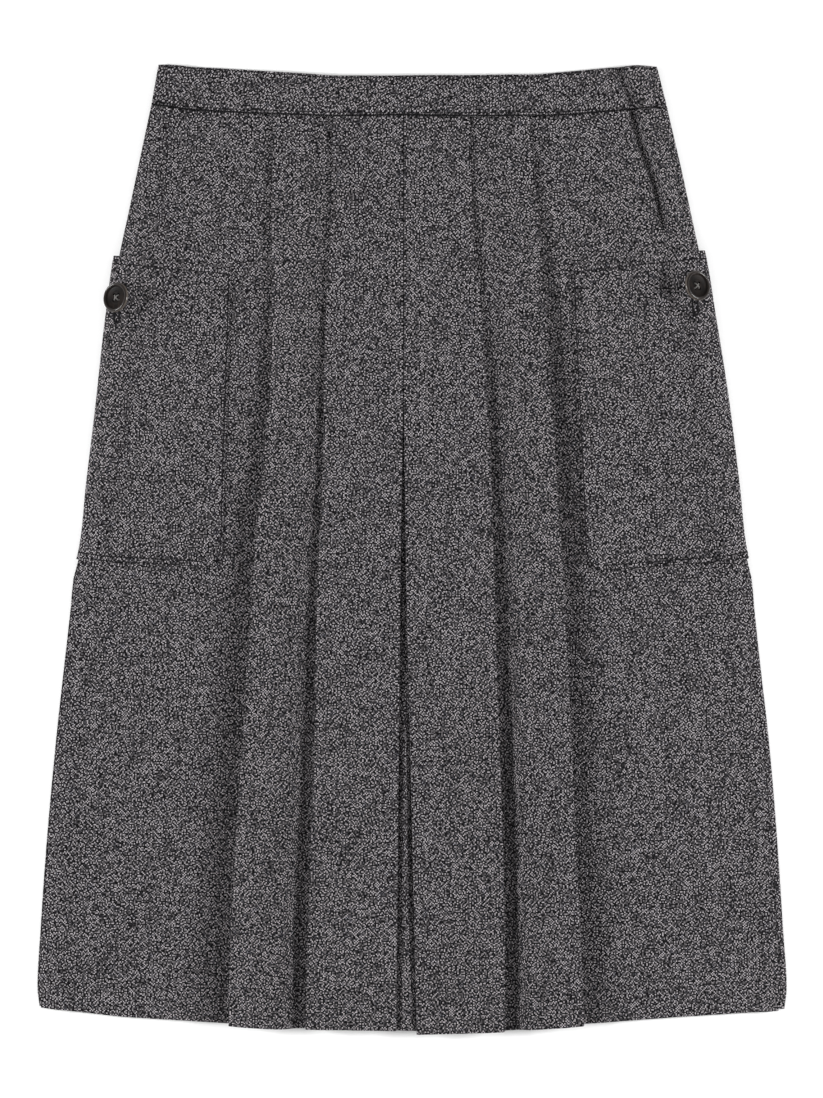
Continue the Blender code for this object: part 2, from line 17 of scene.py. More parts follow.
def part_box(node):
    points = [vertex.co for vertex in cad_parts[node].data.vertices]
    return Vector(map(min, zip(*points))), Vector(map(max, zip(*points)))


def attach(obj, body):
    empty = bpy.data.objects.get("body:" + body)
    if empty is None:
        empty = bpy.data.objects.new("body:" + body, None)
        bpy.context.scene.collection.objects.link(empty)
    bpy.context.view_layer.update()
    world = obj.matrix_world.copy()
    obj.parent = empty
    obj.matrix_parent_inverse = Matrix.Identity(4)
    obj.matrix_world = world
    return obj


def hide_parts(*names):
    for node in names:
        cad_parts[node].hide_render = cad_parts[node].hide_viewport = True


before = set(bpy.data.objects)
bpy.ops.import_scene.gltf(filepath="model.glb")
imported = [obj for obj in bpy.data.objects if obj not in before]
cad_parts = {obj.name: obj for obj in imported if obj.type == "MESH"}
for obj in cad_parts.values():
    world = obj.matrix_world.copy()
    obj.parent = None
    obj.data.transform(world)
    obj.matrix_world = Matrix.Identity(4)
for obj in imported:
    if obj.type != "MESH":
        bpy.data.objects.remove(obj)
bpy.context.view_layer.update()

MM = 0.001
HALVES = ("left", "right")

# Cloth, seams and layers
CLOTH = 1.1
BAND_WALL = 1.7
TAPE = 0.8
LAYER_GAP = 0.4
SEAM_GAP = 0.3
LAYER_STEP = CLOTH + LAYER_GAP
RIM_ROUND = 0.3

# The whole garment
BAND_CORNER = 0.9
HEM_POINT = 718.1
CENTRE_BACK = -5.0
BACK_HEM_SHORTER = 1.2
UNDERLAY_HEM = 715.4

# Soft rolled sides
ROLL_OVER = 11.0
ROLL_UNDER = 5.0
ROLL_FALL = 16.0
ROLL_TIP = 0.42
ROLL_POWER = 1.8
SIDE_SEAM_ANGLE = {"left": 20.0, "right": 50.0}
SIDE_SEAM_GAP = 0.4

# Pleats
PLEAT_DEPTH = {"fold_2": (22.0, 36.0), "fold_1": (20.0, 28.0), "flap": (18.0, 30.0)}
HEM_STEP = {
    "left": {"fold_2": 2.6, "fold_1": 2.4, "flap": 2.6},
    "right": {"fold_2": 3.0, "fold_1": 2.3, "flap": 2.9},
}
PLEAT_CLEAR = 2.0
PLEAT_FALL = 12.0
PLEAT_SAG = 0.8
SAG_PER_WIDTH = 0.06

# Where the pocket's back half and the zip lie, what is above them rises
POCKET_MARGIN = 2.0
POCKET_RAMP = 14.0
ZIP_LIFT = 1.3
ZIP_MARGIN = 14.0
ZIP_RAMP = 30.0

# One row for each section from waist seam to hem
Shape = namedtuple("Shape", "down roll on_pocket on_zip opened")
SHAPES = tuple(Shape(*row) for row in (
    (36.0, 6.4, 0, 1, 0.00),
    (80.0, 6.8, 0, 1, 0.00),
    (114.0, 7.6, 0, 1, 0.00),
    (134.0, 8.4, 1, 1, 0.00),
    (190.0, 9.4, 1, 1, 0.03),
    (250.0, 8.6, 1, 0, 0.10),
    (310.0, 7.6, 1, 0, 0.22),
    (366.0, 6.8, 1, 0, 0.35),
    (380.0, 6.6, 1, 0, 0.38),
    (402.0, 6.6, 0, 0, 0.43),
    (440.0, 6.4, 0, 0, 0.52),
    (500.0, 6.2, 0, 0, 0.65),
    (590.0, 6.0, 0, 0, 0.84),
    (640.0, 5.8, 0, 0, 0.92),
    (685.0, 5.4, 0, 0, 0.98),
    (716.0, 5.0, 0, 0, 1.00),
))
WAIST, BELOW_WAIST, ABOVE_HEM, HEM_END = (SHAPES[i].down for i in (0, 1, -2, -1))

Lines = namedtuple("Lines", "side pocket_side pocket_edge fold_2 fold_1 flap")
LINES = {
    "left": (
        (193.3, 196.0, 134.0, 103.0, 59.3, 6.6),
        (203.7, 206.0, 134.0, 103.4, 59.3, 6.6),
        (210.9, 214.0, 134.0, 103.6, 60.0, 6.6),
        (215.2, 219.2, 134.0, 103.7, 60.8, 6.6),
        (223.9, 227.5, 135.2, 104.0, 64.0, 6.6),
        (231.3, 234.2, 137.2, 106.4, 65.5, 6.7),
        (239.1, 241.4, 139.1, 111.0, 66.4, 7.6),
        (246.7, 248.4, 140.7, 116.1, 69.0, 8.5),
        (250.6, 252.3, 141.2, 117.2, 69.7, 8.6),
        (252.9, 254.5, 142.5, 118.7, 70.5, 8.9),
        (257.2, 259.0, 144.5, 121.2, 71.4, 9.3),
        (263.8, 265.5, 148.0, 125.0, 72.4, 9.8),
        (271.9, 273.5, 152.0, 130.8, 75.2, 10.6),
        (275.3, 277.0, 154.5, 133.4, 76.9, 11.1),
        (277.7, 279.5, 156.0, 134.9, 78.2, 11.5),
        (276.2, 278.0, 157.0, 135.4, 78.8, 11.8),
    ),
    "right": (
        (189.3, 192.0, 116.0, 86.4, 42.8, -6.3),
        (199.9, 202.0, 117.0, 90.2, 43.6, -6.3),
        (207.2, 210.0, 118.0, 93.2, 44.7, -6.3),
        (211.4, 215.6, 118.3, 95.0, 46.4, -6.3),
        (222.4, 225.4, 119.8, 99.0, 51.4, -6.3),
        (232.3, 234.8, 122.7, 102.7, 55.6, -6.2),
        (240.3, 242.4, 125.6, 106.7, 58.4, -5.5),
        (247.7, 249.3, 127.9, 110.6, 60.1, -4.6),
        (251.2, 252.8, 129.0, 111.6, 60.6, -4.4),
        (253.4, 255.0, 131.5, 112.8, 61.2, -4.0),
        (257.4, 259.0, 134.0, 114.6, 62.3, -3.2),
        (264.2, 266.0, 138.0, 117.3, 64.4, -1.7),
        (271.6, 273.0, 143.0, 121.3, 67.3, 0.4),
        (274.8, 276.5, 146.0, 123.9, 68.2, 1.6),
        (277.6, 279.0, 148.0, 126.0, 68.5, 2.6),
        (276.0, 278.0, 149.0, 127.0, 68.3, 3.2),
    ),
}

# Edges that run across the garment: x from the middle line, and distance down
BAND_TOP = (
    (-188.0, 0.9), (-180.0, 1.2), (-162.0, 3.0), (-120.0, 5.2), (-60.0, 9.3), (-21.0, 9.8),
    (65.0, 8.9), (92.0, 8.5), (116.0, 6.3), (166.0, 1.9), (181.0, 2.6),
)
HEM = {
    "left": (
        (-277.0, 699.0), (-215.0, 706.0), (-147.0, 710.2), (-100.0, 714.1), (-52.0, 714.6),
        (-11.0, 715.4),
    ),
    "right": (
        (3.0, 718.1), (68.0, 716.2), (127.0, 711.5), (191.0, 706.6), (277.0, 701.2),
    ),
}
SEAM_DOWN = {
    "left": (38.4, 38.9, 36.7, 35.7, 33.8, 31.7, 30.5),
    "right": (38.4, 39.1, 38.4, 37.6, 33.7, 32.5, 34.2),
}
BAND_SIDE_TOP = {"left": 188.0, "right": 181.4}
BAND_ROLL = 6.2
BAND_OVER_PLEATS = 2.5

# Patch pockets: mouth at the side and at the inner edge, flare, foot with its round corner
POCKET_MOUTH = {"left": (142.6, 150.5), "right": (138.6, 149.0)}
POCKET_FLARE = 14.0
POCKET_CORNER = 12.0
POCKET_FOOT = {
    "left": ((0.0, 373.6), (12.0, 373.6), (107.0, 365.4)),
    "right": ((0.0, 376.6), (12.0, 376.6), (121.0, 364.1)),
}
CORNER_RISE = {"left": 14.6, "right": 16.6}

# Fineness of the sheets: steps between rows, and distances of the rows near their edges
ROW_STEP = 4.2
BACK_ROW_STEP = 12.0
POCKET_ROW_STEP = 3.6
POCKET_LEVEL_STEP = 4.0
BAND_ROW_STEP = 2.4
EDGE_STEPS = (0.35, 0.8, 1.3, 2.0, 3.2)
HEM_STEPS = (0.4, 1.0, 2.0, 4.0, 8.0, 14.0, 20.0, 26.0, 32.0, 38.0, 41.0, 43.0, 44.2, 45.4, 46.6, 48.6)
MOUTH_STEPS = (0.3, 0.8, 1.6, 2.8, 4.2, 5.2, 5.6, 5.9, 6.2, 6.6, 7.6, 9.4)
FOOT_STEPS = (0.3, 0.7, 1.0, 1.3, 1.6, 2.0, 3.0, 4.2, 4.7, 5.0, 5.3, 5.8, 7.0)
BAND_TOP_STEPS = (0.3, 0.8, 1.2, 1.4, 1.6, 1.8, 2.1, 2.8, 4.0)
BAND_SEAM_STEPS = (0.3, 0.7, 1.1, 1.4, 1.7, 2.2, 3.2)
CUT_APART = 417.0

# Points of a fold's turn, columns of each stretch of a section, and fineness of the zip's tape
TURN_POINTS = 7
CORNER_COLUMNS = (0.0, 0.4, 1.2, 2.4, 4.2, 6.6, 9.6, 12.0)
SIDE_COLUMNS = 36
FALL_COLUMNS = 10
ROLL_COLUMNS = 10
RAMP_COLUMNS = 5
PANEL_COLUMNS = 5
BETWEEN_COLUMNS = 3
UNDER_COLUMNS = 6
TUCKED_COLUMNS = 5
TOP_COLUMNS = 9
PLEAT_FALL_COLUMNS = 7
FLAP_RAMP_COLUMNS = 6
FLAP_TOP_COLUMNS = 8
FLAP_UNDER_COLUMNS = 7
BACK_COLUMNS = 14
UNDERLAY_COLUMNS = 9
BAND_BACK_COLUMNS = 36
BAND_ROLL_COLUMNS = 18
BAND_FALL_COLUMNS = 7
BAND_SIDE_COLUMNS = 12
BAND_RAMP_COLUMNS = 8
BAND_FRONT_COLUMNS = 30
TAPE_COLUMNS = 13
TAPE_ROWS = 60

# Each fold's cloth stands up: (distance down, height). Its upper layers have that height at
# the fold, its tucked layer further in, and inside the fold it comes down to a share of it.
SWELL = {
    "left": {
        "fold_2": ((60.0, 0.0), (180.0, 1.6), (260.0, 4.8), (380.0, 9.4), (560.0, 12.0), (716.0, 11.0)),
        "fold_1": ((60.0, 0.0), (240.0, 0.8), (330.0, 1.6), (460.0, 2.6), (600.0, 4.4), (716.0, 4.2)),
    },
    "right": {
        "fold_2": ((50.0, 0.0), (130.0, 2.0), (190.0, 6.0), (300.0, 9.6), (450.0, 9.0), (716.0, 8.0)),
        "fold_1": ((50.0, 0.0), (160.0, 0.8), (240.0, 2.4), (400.0, 4.0), (560.0, 5.4), (716.0, 5.4)),
    },
}
SWELL_OUTSIDE = 4.0
SWELL_INSIDE = 6.0
TUCK_LOW = 3.0
TUCK_RISE = 14.0
NONE_TUCKED = {"fold_2": False, "fold_1": False}
HOLLOW_WIDTH = 16.0
SWELL_KEPT = {"fold_2": 0.25, "fold_1": 0.45}
CENTRE_BLEND = 14.0

# Rows of stitches, as distances from the edge they follow, and the relief that they leave
SEAM_DITCH = 1.9
SEAM_SUNK = 0.5
BAND_STITCHES = (1.7, 1.6)
MOUTH_STITCH = 5.9
FOOT_STITCHES = (1.3, 5.0)
FURROW_DEPTH = 0.7
FURROW_WIDTH = 0.65
BAND_CROWN = 0.8
MOUTH_PUFF = 0.5
MOUTH_END = 4.0
PATCH_PUFF = 0.6
PATCH_RISE = 5.0
ROWS_ALONG_EDGE = 8

# Soft waves of the laid cloth, and the ridge of the hem's turned-up edge
LAID_HEIGHT = 1.1
SEAM_DIP = 2.0
WAVE_HEIGHT = 0.9
HEM_LINE = 671.0
HEM_LINE_BOW = 6.0
HEM_HALF_WIDTH = 277.0
HEM_LINE_RIDGE = 0.45
HEM_LINE_WIDTH = 1.5
UNDERLAY_RISE = 3.6
UNDERLAY_CLEAR = 1.2
UNDERLAY_RAMP = 3.0
EDGE_FALL = 2.0
STILL_BY_SIDE = 3.0
WAVES_FROM_SIDE = 14.0
STILL_BY_BUTTON = 15.0
WAVES_FROM_BUTTON = 32.0

# Creases as a height, a half width and a route of (x, down) points. Each runs out over a share
# of its length at either end.
CREASE_END = 0.2
Crease = namedtuple("Crease", "height width route")
SIDE_TROUGH = ((142.0, -30.0), (151.0, 0.0), (159.7, 23.7), (162.7, 33.3), (166.4, 49.6),
               (170.8, 64.4), (179.7, 86.6), (186.3, 118.0), (192.0, 140.0))
INNER_TROUGH = ((124.0, 46.0), (131.6, 67.3), (145.6, 103.6), (158.2, 139.9), (166.4, 180.6),
                (171.0, 245.7), (172.0, 300.0))
CREASES = (
    Crease(6.0, 12.0, SIDE_TROUGH),
    Crease(-9.0, 4.4, SIDE_TROUGH),
    Crease(3.6, 18.0, INNER_TROUGH),
    Crease(-4.6, 7.0, INNER_TROUGH),
    Crease(1.2, 15.0, ((-182.0, 62.0), (-190.0, 120.0), (-199.0, 190.0))),
    Crease(-1.0, 6.0, ((-176.0, 66.0), (-182.0, 112.0), (-186.0, 170.0))),
    Crease(1.0, 22.0, ((-228.0, 420.0), (-238.0, 560.0), (-240.0, 690.0))),
    Crease(1.2, 20.0, ((222.0, 410.0), (236.0, 540.0), (240.0, 692.0))),
    Crease(0.9, 14.0, ((-150.0, 520.0), (-168.0, 640.0), (-172.0, 700.0))),
    Crease(0.8, 16.0, ((168.0, 480.0), (176.0, 600.0), (190.0, 690.0))),
    Crease(0.7, 18.0, ((-30.0, 120.0), (-34.0, 300.0), (-42.0, 470.0), (-46.0, 690.0))),
    Crease(0.7, 16.0, ((20.0, 140.0), (26.0, 300.0), (33.0, 470.0), (38.0, 690.0))),
)


def between(a, b, part):
    return a + (b - a) * part


def ease(part):
    """Smooth step from 0 to 1."""
    part = np.clip(part, 0.0, 1.0)
    return part * part * (3.0 - 2.0 * part)


def run(start, end, count):
    """Evenly spaced values from just after start to end."""
    return [between(start, end, i / count) for i in range(1, count + 1)]


def read(table, at):
    """The second column of a table, at values of its first column."""
    return np.interp(at, [row[0] for row in table], [row[1] for row in table])


def facing(half):
    """-1 for the half towards -X, 1 for the half towards +X."""
    return -1.0 if half == "left" else 1.0


class SmoothTable:
    """Reads a table's columns with smooth curves through its rows."""

    def __init__(self, at, rows):
        self.at, self.rows = np.array(at, float), np.array(rows, float)
        steps = np.diff(self.at)[:, None]
        slopes = np.diff(self.rows, axis=0) / steps
        inner = (slopes[:-1] * steps[1:] + slopes[1:] * steps[:-1]) / (steps[:-1] + steps[1:])
        self.tangents = np.vstack([slopes[:1], inner, slopes[-1:]])

    def __call__(self, at):
        low = int(np.clip(np.searchsorted(self.at, at, side="right") - 1, 0, len(self.at) - 2))
        step = self.at[low + 1] - self.at[low]
        t = (at - self.at[low]) / step
        bend_in, bend_out = self.tangents[low] * step, self.tangents[low + 1] * step
        across = t * t * (3.0 - 2.0 * t)
        start, end = self.rows[low], self.rows[low + 1]
        return start + (end - start) * across + bend_in * t * (1 - t) ** 2 - bend_out * t * t * (1 - t)


SHAPE_TABLE = SmoothTable([row.down for row in SHAPES], SHAPES)
LINE_TABLE = {half: SmoothTable([row.down for row in SHAPES], LINES[half]) for half in HALVES}


def section_at(half, down):
    """Shape and lines of a half at a distance down."""
    shape = Shape(*SHAPE_TABLE(down))
    shape = shape._replace(
        on_pocket=min(max(shape.on_pocket, 0.0), 1.0), on_zip=min(max(shape.on_zip, 0.0), 1.0),
        opened=max(shape.opened, 0.0),
    )
    return shape, Lines(*LINE_TABLE[half](down))


def ground(out, line, shape):
    """How far the pocket's back half lifts what lies above it."""
    inside = line.pocket_edge - POCKET_MARGIN - out
    return LAYER_STEP * shape.on_pocket * (1.0 - ease(inside / POCKET_RAMP))


def over_zip(half, out, shape):
    """How far the zip lifts the front above it."""
    aside = abs(facing(half) * out - CENTRE_BACK) - ZIP_MARGIN
    return ZIP_LIFT * shape.on_zip * (1.0 - ease(aside / ZIP_RAMP))


def front_level(half, out, line, shape):
    """Middle of the front's wall where it lies straight on the back."""
    return CLOTH / 2 + LAYER_STEP + ground(out, line, shape) + over_zip(half, out, shape)


def roll_point(angle, side, low, high, wall):
    """A point of a rolled side's wall, from -90 degrees below to 90 degrees above."""
    side, low, high = side - wall / 2, low + wall / 2, high - wall / 2
    tip = between(low, high, ROLL_TIP)
    turned = math.radians(angle)
    power = 1.0 if angle < 0 else 2.0 / ROLL_POWER
    reach = ROLL_UNDER if angle < 0 else ROLL_OVER
    rise = low - tip if angle < 0 else high - tip
    out = side - reach + reach * abs(math.cos(turned)) ** power
    return out, tip + rise * abs(math.sin(turned)) ** power


def roll_of_side(half, line, shape):
    """Draws points of the body's roll, and gives the angles of its side seam's two edges."""
    low = ground(line.side, line, shape)
    high = low + shape.roll

    def point(angle):
        return roll_point(angle, line.side, low, high, CLOTH)

    seam = SIDE_SEAM_ANGLE[half]
    per_degree = math.dist(point(seam - 1.0), point(seam + 1.0)) / 2.0
    half_gap = SIDE_SEAM_GAP / 2.0 / per_degree
    return point, seam - half_gap, seam + half_gap


def seam_stations(half, line):
    """Columns at which the waist seam's distance down is given."""
    ramp_end = line.pocket_edge - POCKET_MARGIN - POCKET_RAMP
    foot = line.side - ROLL_OVER - ROLL_FALL
    middle = facing(half) * CENTRE_BACK
    return middle, line.fold_1, ramp_end, line.pocket_edge, foot, line.side - ROLL_OVER, line.side


def seam_table(half):
    return tuple(zip(seam_stations(half, Lines(*LINES[half][0])), SEAM_DOWN[half]))


def waist_seam(x):
    """The waist seam's distance down at places across the garment."""
    on_left, on_right = (read(seam_table(half), facing(half) * x) for half in HALVES)
    return np.where(x < CENTRE_BACK, on_left, on_right)


def side_stations(line):
    """Columns from the pocket's inner edge out to the foot of the roll, close at its corner."""
    corner = [line.pocket_edge + inside for inside in CORNER_COLUMNS]
    return corner + run(corner[-1], line.side - ROLL_OVER - ROLL_FALL, SIDE_COLUMNS)


def side_of_back(half, line, shape):
    """The back's wall from the pocket's inner edge out to the side seam."""
    stations = side_stations(line) + [line.side - ROLL_OVER]
    points = [(out, CLOTH / 2 + ground(out, line, shape)) for out in stations]
    roll, below_seam, _ = roll_of_side(half, line, shape)
    return points + [roll(angle) for angle in [-90.0] + run(-90.0, below_seam, ROLL_COLUMNS)]


def side_of_front(half, line, shape):
    """The front's wall from the side seam in to the pocket's inner edge."""
    roll, _, above_seam = roll_of_side(half, line, shape)
    points = [roll(angle) for angle in [above_seam] + run(above_seam, 90.0, ROLL_COLUMNS)]
    top = points[-1][1]
    for part in run(0.0, 1.0, FALL_COLUMNS):
        out = line.side - ROLL_OVER - ROLL_FALL * part
        points.append((out, between(top, front_level(half, out, line, shape), ease(part))))
    for out in side_stations(line)[-2::-1]:
        points.append((out, front_level(half, out, line, shape)))
    return points


def turn(out, up, radius, start, end):
    """Points of a fold's turn round a centre. Angle 0 points to the middle line, 90 up."""
    points = []
    for i in range(TURN_POINTS + 1):
        angle = math.radians(between(start, end, i / TURN_POINTS))
        points.append((out - radius * math.cos(angle), up + radius * math.sin(angle)))
    return points


def pleat_depth(name, shape):
    at_waist, at_hem = PLEAT_DEPTH[name]
    return between(at_waist, at_hem, (shape.down - WAIST) / (HEM_END - WAIST))


def pleat_step(half, name, shape):
    return between(LAYER_STEP, HEM_STEP[half][name], shape.opened)


def knife_pleat(half, name, line, shape):
    """The wall runs in under the fold, turns back out, turns at the fold, runs in on top."""
    def level(out):
        return front_level(half, out, line, shape)

    fold, step, depth = getattr(line, name), pleat_step(half, name, shape), pleat_depth(name, shape)
    inner = fold - depth + step / 2
    outer = fold - CLOTH / 2 - step / 2
    points = [(out, level(out)) for out in run(fold, inner, UNDER_COLUMNS)[:-1]]
    points += turn(inner, level(inner) + step / 2, step / 2, -90.0, 90.0)
    points += [(out, level(out) + step) for out in run(inner, outer, TUCKED_COLUMNS)[:-1]]
    points += turn(outer, level(outer) + 1.5 * step, step / 2, 270.0, 90.0)
    top = run(outer, fold - depth - PLEAT_CLEAR, TOP_COLUMNS)
    return points + [(out, level(out) + 2 * step) for out in top]


# Columns at the middle of each turn, counted from the start of its stretch
INNER_TURN = UNDER_COLUMNS - 1 + TURN_POINTS // 2
OUTER_TURN = UNDER_COLUMNS + TURN_POINTS + TUCKED_COLUMNS - 1 + TURN_POINTS // 2
FLAP_TURN = FLAP_RAMP_COLUMNS + FLAP_TOP_COLUMNS - 1 + TURN_POINTS // 2


def fall_inside(half, name, line, shape):
    """Inside a knife pleat's layers the panel comes down to the back."""
    start = getattr(line, name) - pleat_depth(name, shape) - PLEAT_CLEAR
    height = 2 * pleat_step(half, name, shape)
    points = []
    for part in run(0.0, 1.0, PLEAT_FALL_COLUMNS):
        out = start - PLEAT_FALL * part
        points.append((out, front_level(half, out, line, shape) + height * (1.0 - ease(part))))
    return points


def centre_flap(half, line, shape):
    """From the inner knife pleat on to the centre pleat, round its fold and back out below."""
    def level(out):
        return front_level(half, out, line, shape)

    fold_step, step = pleat_step(half, "fold_1", shape), pleat_step(half, "flap", shape)
    start = line.fold_1 - pleat_depth("fold_1", shape) - PLEAT_CLEAR
    edge = line.flap + pleat_depth("flap", shape)
    end = edge + PLEAT_CLEAR
    sag = min(PLEAT_SAG, SAG_PER_WIDTH * (start - end))
    fold = line.flap + CLOTH / 2 + step / 2
    points = []
    for part in run(0.0, 1.0, FLAP_RAMP_COLUMNS):
        out = between(start, end, part)
        height = 2 * between(fold_step, step, part) - sag * math.sin(math.pi * part)
        points.append((out, level(out) + height))
    points += [(out, level(out) + 2 * step) for out in run(end, fold, FLAP_TOP_COLUMNS)[:-1]]
    points += turn(fold, level(fold) + 1.5 * step, step / 2, 90.0, -90.0)
    for part in run(0.0, 1.0, FLAP_UNDER_COLUMNS):
        out = between(fold, edge, part)
        points.append((out, level(out) + between(step, LAYER_STEP, part)))
    return points


def front_parts(half, down):
    """The front's wall from side seam to centre, as its stretches between the pleats."""
    shape, line = section_at(half, down)
    full = line.pocket_edge - POCKET_MARGIN
    stations = [full] + run(full, full - POCKET_RAMP, RAMP_COLUMNS)
    stations += run(stations[-1], line.fold_2, PANEL_COLUMNS)
    panel = [(out, front_level(half, out, line, shape)) for out in stations]
    return (
        side_of_front(half, line, shape) + panel,
        knife_pleat(half, "fold_2", line, shape),
        fall_inside(half, "fold_2", line, shape) + between_folds(half, line, shape),
        knife_pleat(half, "fold_1", line, shape),
        centre_flap(half, line, shape),
    )


def between_folds(half, line, shape):
    """The panel from where it has come down to just before the inner fold."""
    start = line.fold_2 - pleat_depth("fold_2", shape) - PLEAT_CLEAR - PLEAT_FALL
    stations = run(start, line.fold_1, BETWEEN_COLUMNS)
    return [(out, front_level(half, out, line, shape)) for out in stations]


def back_section(half, down):
    shape, line = section_at(half, down)
    full = line.pocket_edge - POCKET_MARGIN
    start = full - POCKET_RAMP
    middle = facing(half) * CENTRE_BACK + SEAM_GAP / 2
    stations = [middle] + run(middle, start, BACK_COLUMNS) + run(start, full, RAMP_COLUMNS)
    points = [(out, CLOTH / 2 + ground(out, line, shape)) for out in stations]
    return points + side_of_back(half, line, shape)


def underlay_section(down):
    """The panel behind the centre pleat as (x, up)."""
    sides = []
    for half in HALVES:
        shape, line = section_at(half, down)
        edge = line.flap + pleat_depth("flap", shape)
        middle = facing(half) * CENTRE_BACK
        stations = [edge] + run(edge, middle, UNDERLAY_COLUMNS)
        sides.append(in_x(half, [(out, front_level(half, out, line, shape)) for out in stations]))
    return sides[0] + sides[1][-2::-1]


def in_x(half, points):
    return [(facing(half) * out, up) for out, up in points]


def row_places(length, step, head_steps, foot_steps):
    """Distances of rows from head to foot, close together near both edges."""
    middle = run(head_steps[-1], length - foot_steps[-1], round(length / step))
    return [0.0, *head_steps, *middle, *(length - at for at in foot_steps[-2::-1]), length]


def rows_between(section, step, head, foot):
    """Rows of (x, down, up). The first follows the head's edge, the last the foot's."""
    rows = []
    for place in row_places(HEM_END - WAIST, step, EDGE_STEPS, HEM_STEPS):
        down = WAIST + place
        x, up = np.array(section(down)).T
        by_head = max(BELOW_WAIST - down, 0.0) / (BELOW_WAIST - WAIST)
        by_foot = max(down - ABOVE_HEM, 0.0) / (HEM_END - ABOVE_HEM)
        moved = down + by_head * (head(x) - WAIST) + by_foot * (foot(x) - HEM_END)
        rows.append(np.stack([x, moved, up], axis=-1))
    return np.array(rows)


def panel_head(x):
    return waist_seam(x) + SEAM_DITCH / 2


def back_head(x):
    return waist_seam(x) + SEAM_GAP / 2


def from_route(x, down, route):
    """Distances of points from a route, and how far along it they are, from 0 to 1."""
    nearest = np.full(x.shape, np.inf)
    along = np.zeros(x.shape)
    lengths = [math.dist(a, b) for a, b in zip(route, route[1:])]
    passed = 0.0
    for a, b, length in zip(route, route[1:], lengths):
        part = ((x - a[0]) * (b[0] - a[0]) + (down - a[1]) * (b[1] - a[1])) / length ** 2
        part = np.clip(part, 0.0, 1.0)
        distance = np.hypot(x - between(a[0], b[0], part), down - between(a[1], b[1], part))
        along = np.where(distance < nearest, (passed + part * length) / sum(lengths), along)
        nearest = np.minimum(nearest, distance)
        passed += length
    return nearest, along


def soft_waves(x, down):
    """Low swellings of the laid cloth, longer down the skirt than across it, from 0 to 1."""
    slow = np.sin(x / 34.0 + 0.8 * np.sin(down / 120.0 + 1.3)) * np.cos(down / 96.0 + x / 150.0)
    quick = np.sin(x / 15.0 - down / 70.0 + 2.0) * np.sin(down / 44.0 + x / 90.0 + 0.6)
    return 0.5 + 0.35 * slow + 0.15 * quick


def line_at(half, name, down):
    """How far out one of a half's lines runs, at distances down."""
    column = Lines._fields.index(name)
    return read([(row.down, line[column]) for row, line in zip(SHAPES, LINES[half])], down)


def half_swell(half, x, down, tucked):
    """How far the two folds of a half raise the cloth inside them, and how far the waves of the
    cloth flatten by each fold. The layer tucked in under a fold rises further in."""
    out = facing(half) * x
    lines = [line_at(half, name, down) for name in ("fold_2", "fold_1", "flap")]
    height, waving = np.zeros(x.shape), np.ones(x.shape)
    for name, fold, inner in (("fold_2", *lines[:2]), ("fold_1", *lines[1:])):
        above = ease((fold + SWELL_OUTSIDE - out) / SWELL_OUTSIDE)
        below = ease((fold - TUCK_LOW - out) / TUCK_RISE)
        fallen = ease((fold - SWELL_INSIDE - out) / (fold - SWELL_INSIDE - inner))
        rise = np.where(tucked[name], below, above) * between(1.0, SWELL_KEPT[name], fallen)
        height += read(SWELL[half][name], down) * rise
        waving *= ease(np.abs(out - fold) / HOLLOW_WIDTH)
    return height, waving


def flap_edges(down):
    """Where the edges of the centre pleat's left and right flaps run, as x."""
    return [facing(half) * line_at(half, "flap", down) for half in HALVES]


def centre_line(down):
    """Where the two flaps of the centre pleat meet or part."""
    return sum(flap_edges(down)) / 2


def lift(x, down, tucked=NONE_TUCKED):
    """How far the cloth's folds, creases and waves raise the layers of the front at a place."""
    to_right = ease(0.5 + (x - centre_line(down)) / (2 * CENTRE_BLEND))
    swells = [half_swell(half, x, down, tucked) for half in HALVES]
    (on_left, left_waving), (on_right, right_waving) = swells
    height = (LAID_HEIGHT + WAVE_HEIGHT * soft_waves(x, down)) * left_waving * right_waving
    height += between(on_left, on_right, to_right)
    for crease in CREASES:
        distance, along = from_route(x, down, crease.route)
        ends = ease(along / CREASE_END) * ease((1.0 - along) / CREASE_END)
        height += crease.height * ends * np.exp(-((distance / crease.width) ** 2))
    hem_line = HEM_LINE - HEM_LINE_BOW * (x / HEM_HALF_WIDTH) ** 2
    height += HEM_LINE_RIDGE * np.exp(-((down - hem_line) / HEM_LINE_WIDTH) ** 2)
    return np.maximum(height, 0.0) * stillness(x, down) * ease(np.abs(down - waist_seam(x)) / SEAM_DIP)


def stillness(x, down):
    """0 where the sides' rolls and the buttons hold the cloth still, else 1."""
    moving = np.ones(x.shape)
    for half in HALVES:
        sides = [(BAND_CORNER, BAND_SIDE_TOP[half])]
        sides += [(row.down, line[0]) for row, line in zip(SHAPES, LINES[half])]
        inside = read(sides, down) - STILL_BY_SIDE - facing(half) * x
        from_button = np.hypot(x - button_centre[half][0], down - button_centre[half][1])
        moving *= ease(inside / WAVES_FROM_SIDE)
        moving *= ease((from_button - STILL_BY_BUTTON) / (WAVES_FROM_BUTTON - STILL_BY_BUTTON))
    return moving


def in_place(points):
    """Millimetres across, down and up to metres, with the garment's middle at y = 0."""
    x, down, up = np.moveaxis(np.asarray(points, float), -1, 0)
    return np.stack([x, (BAND_CORNER + HEM_POINT) / 2 - down, up], axis=-1) * MM


def from_place(point):
    """The other way round: metres to millimetres across, down and up."""
    return point[0] / MM, (BAND_CORNER + HEM_POINT) / 2 - point[1] / MM, point[2] / MM


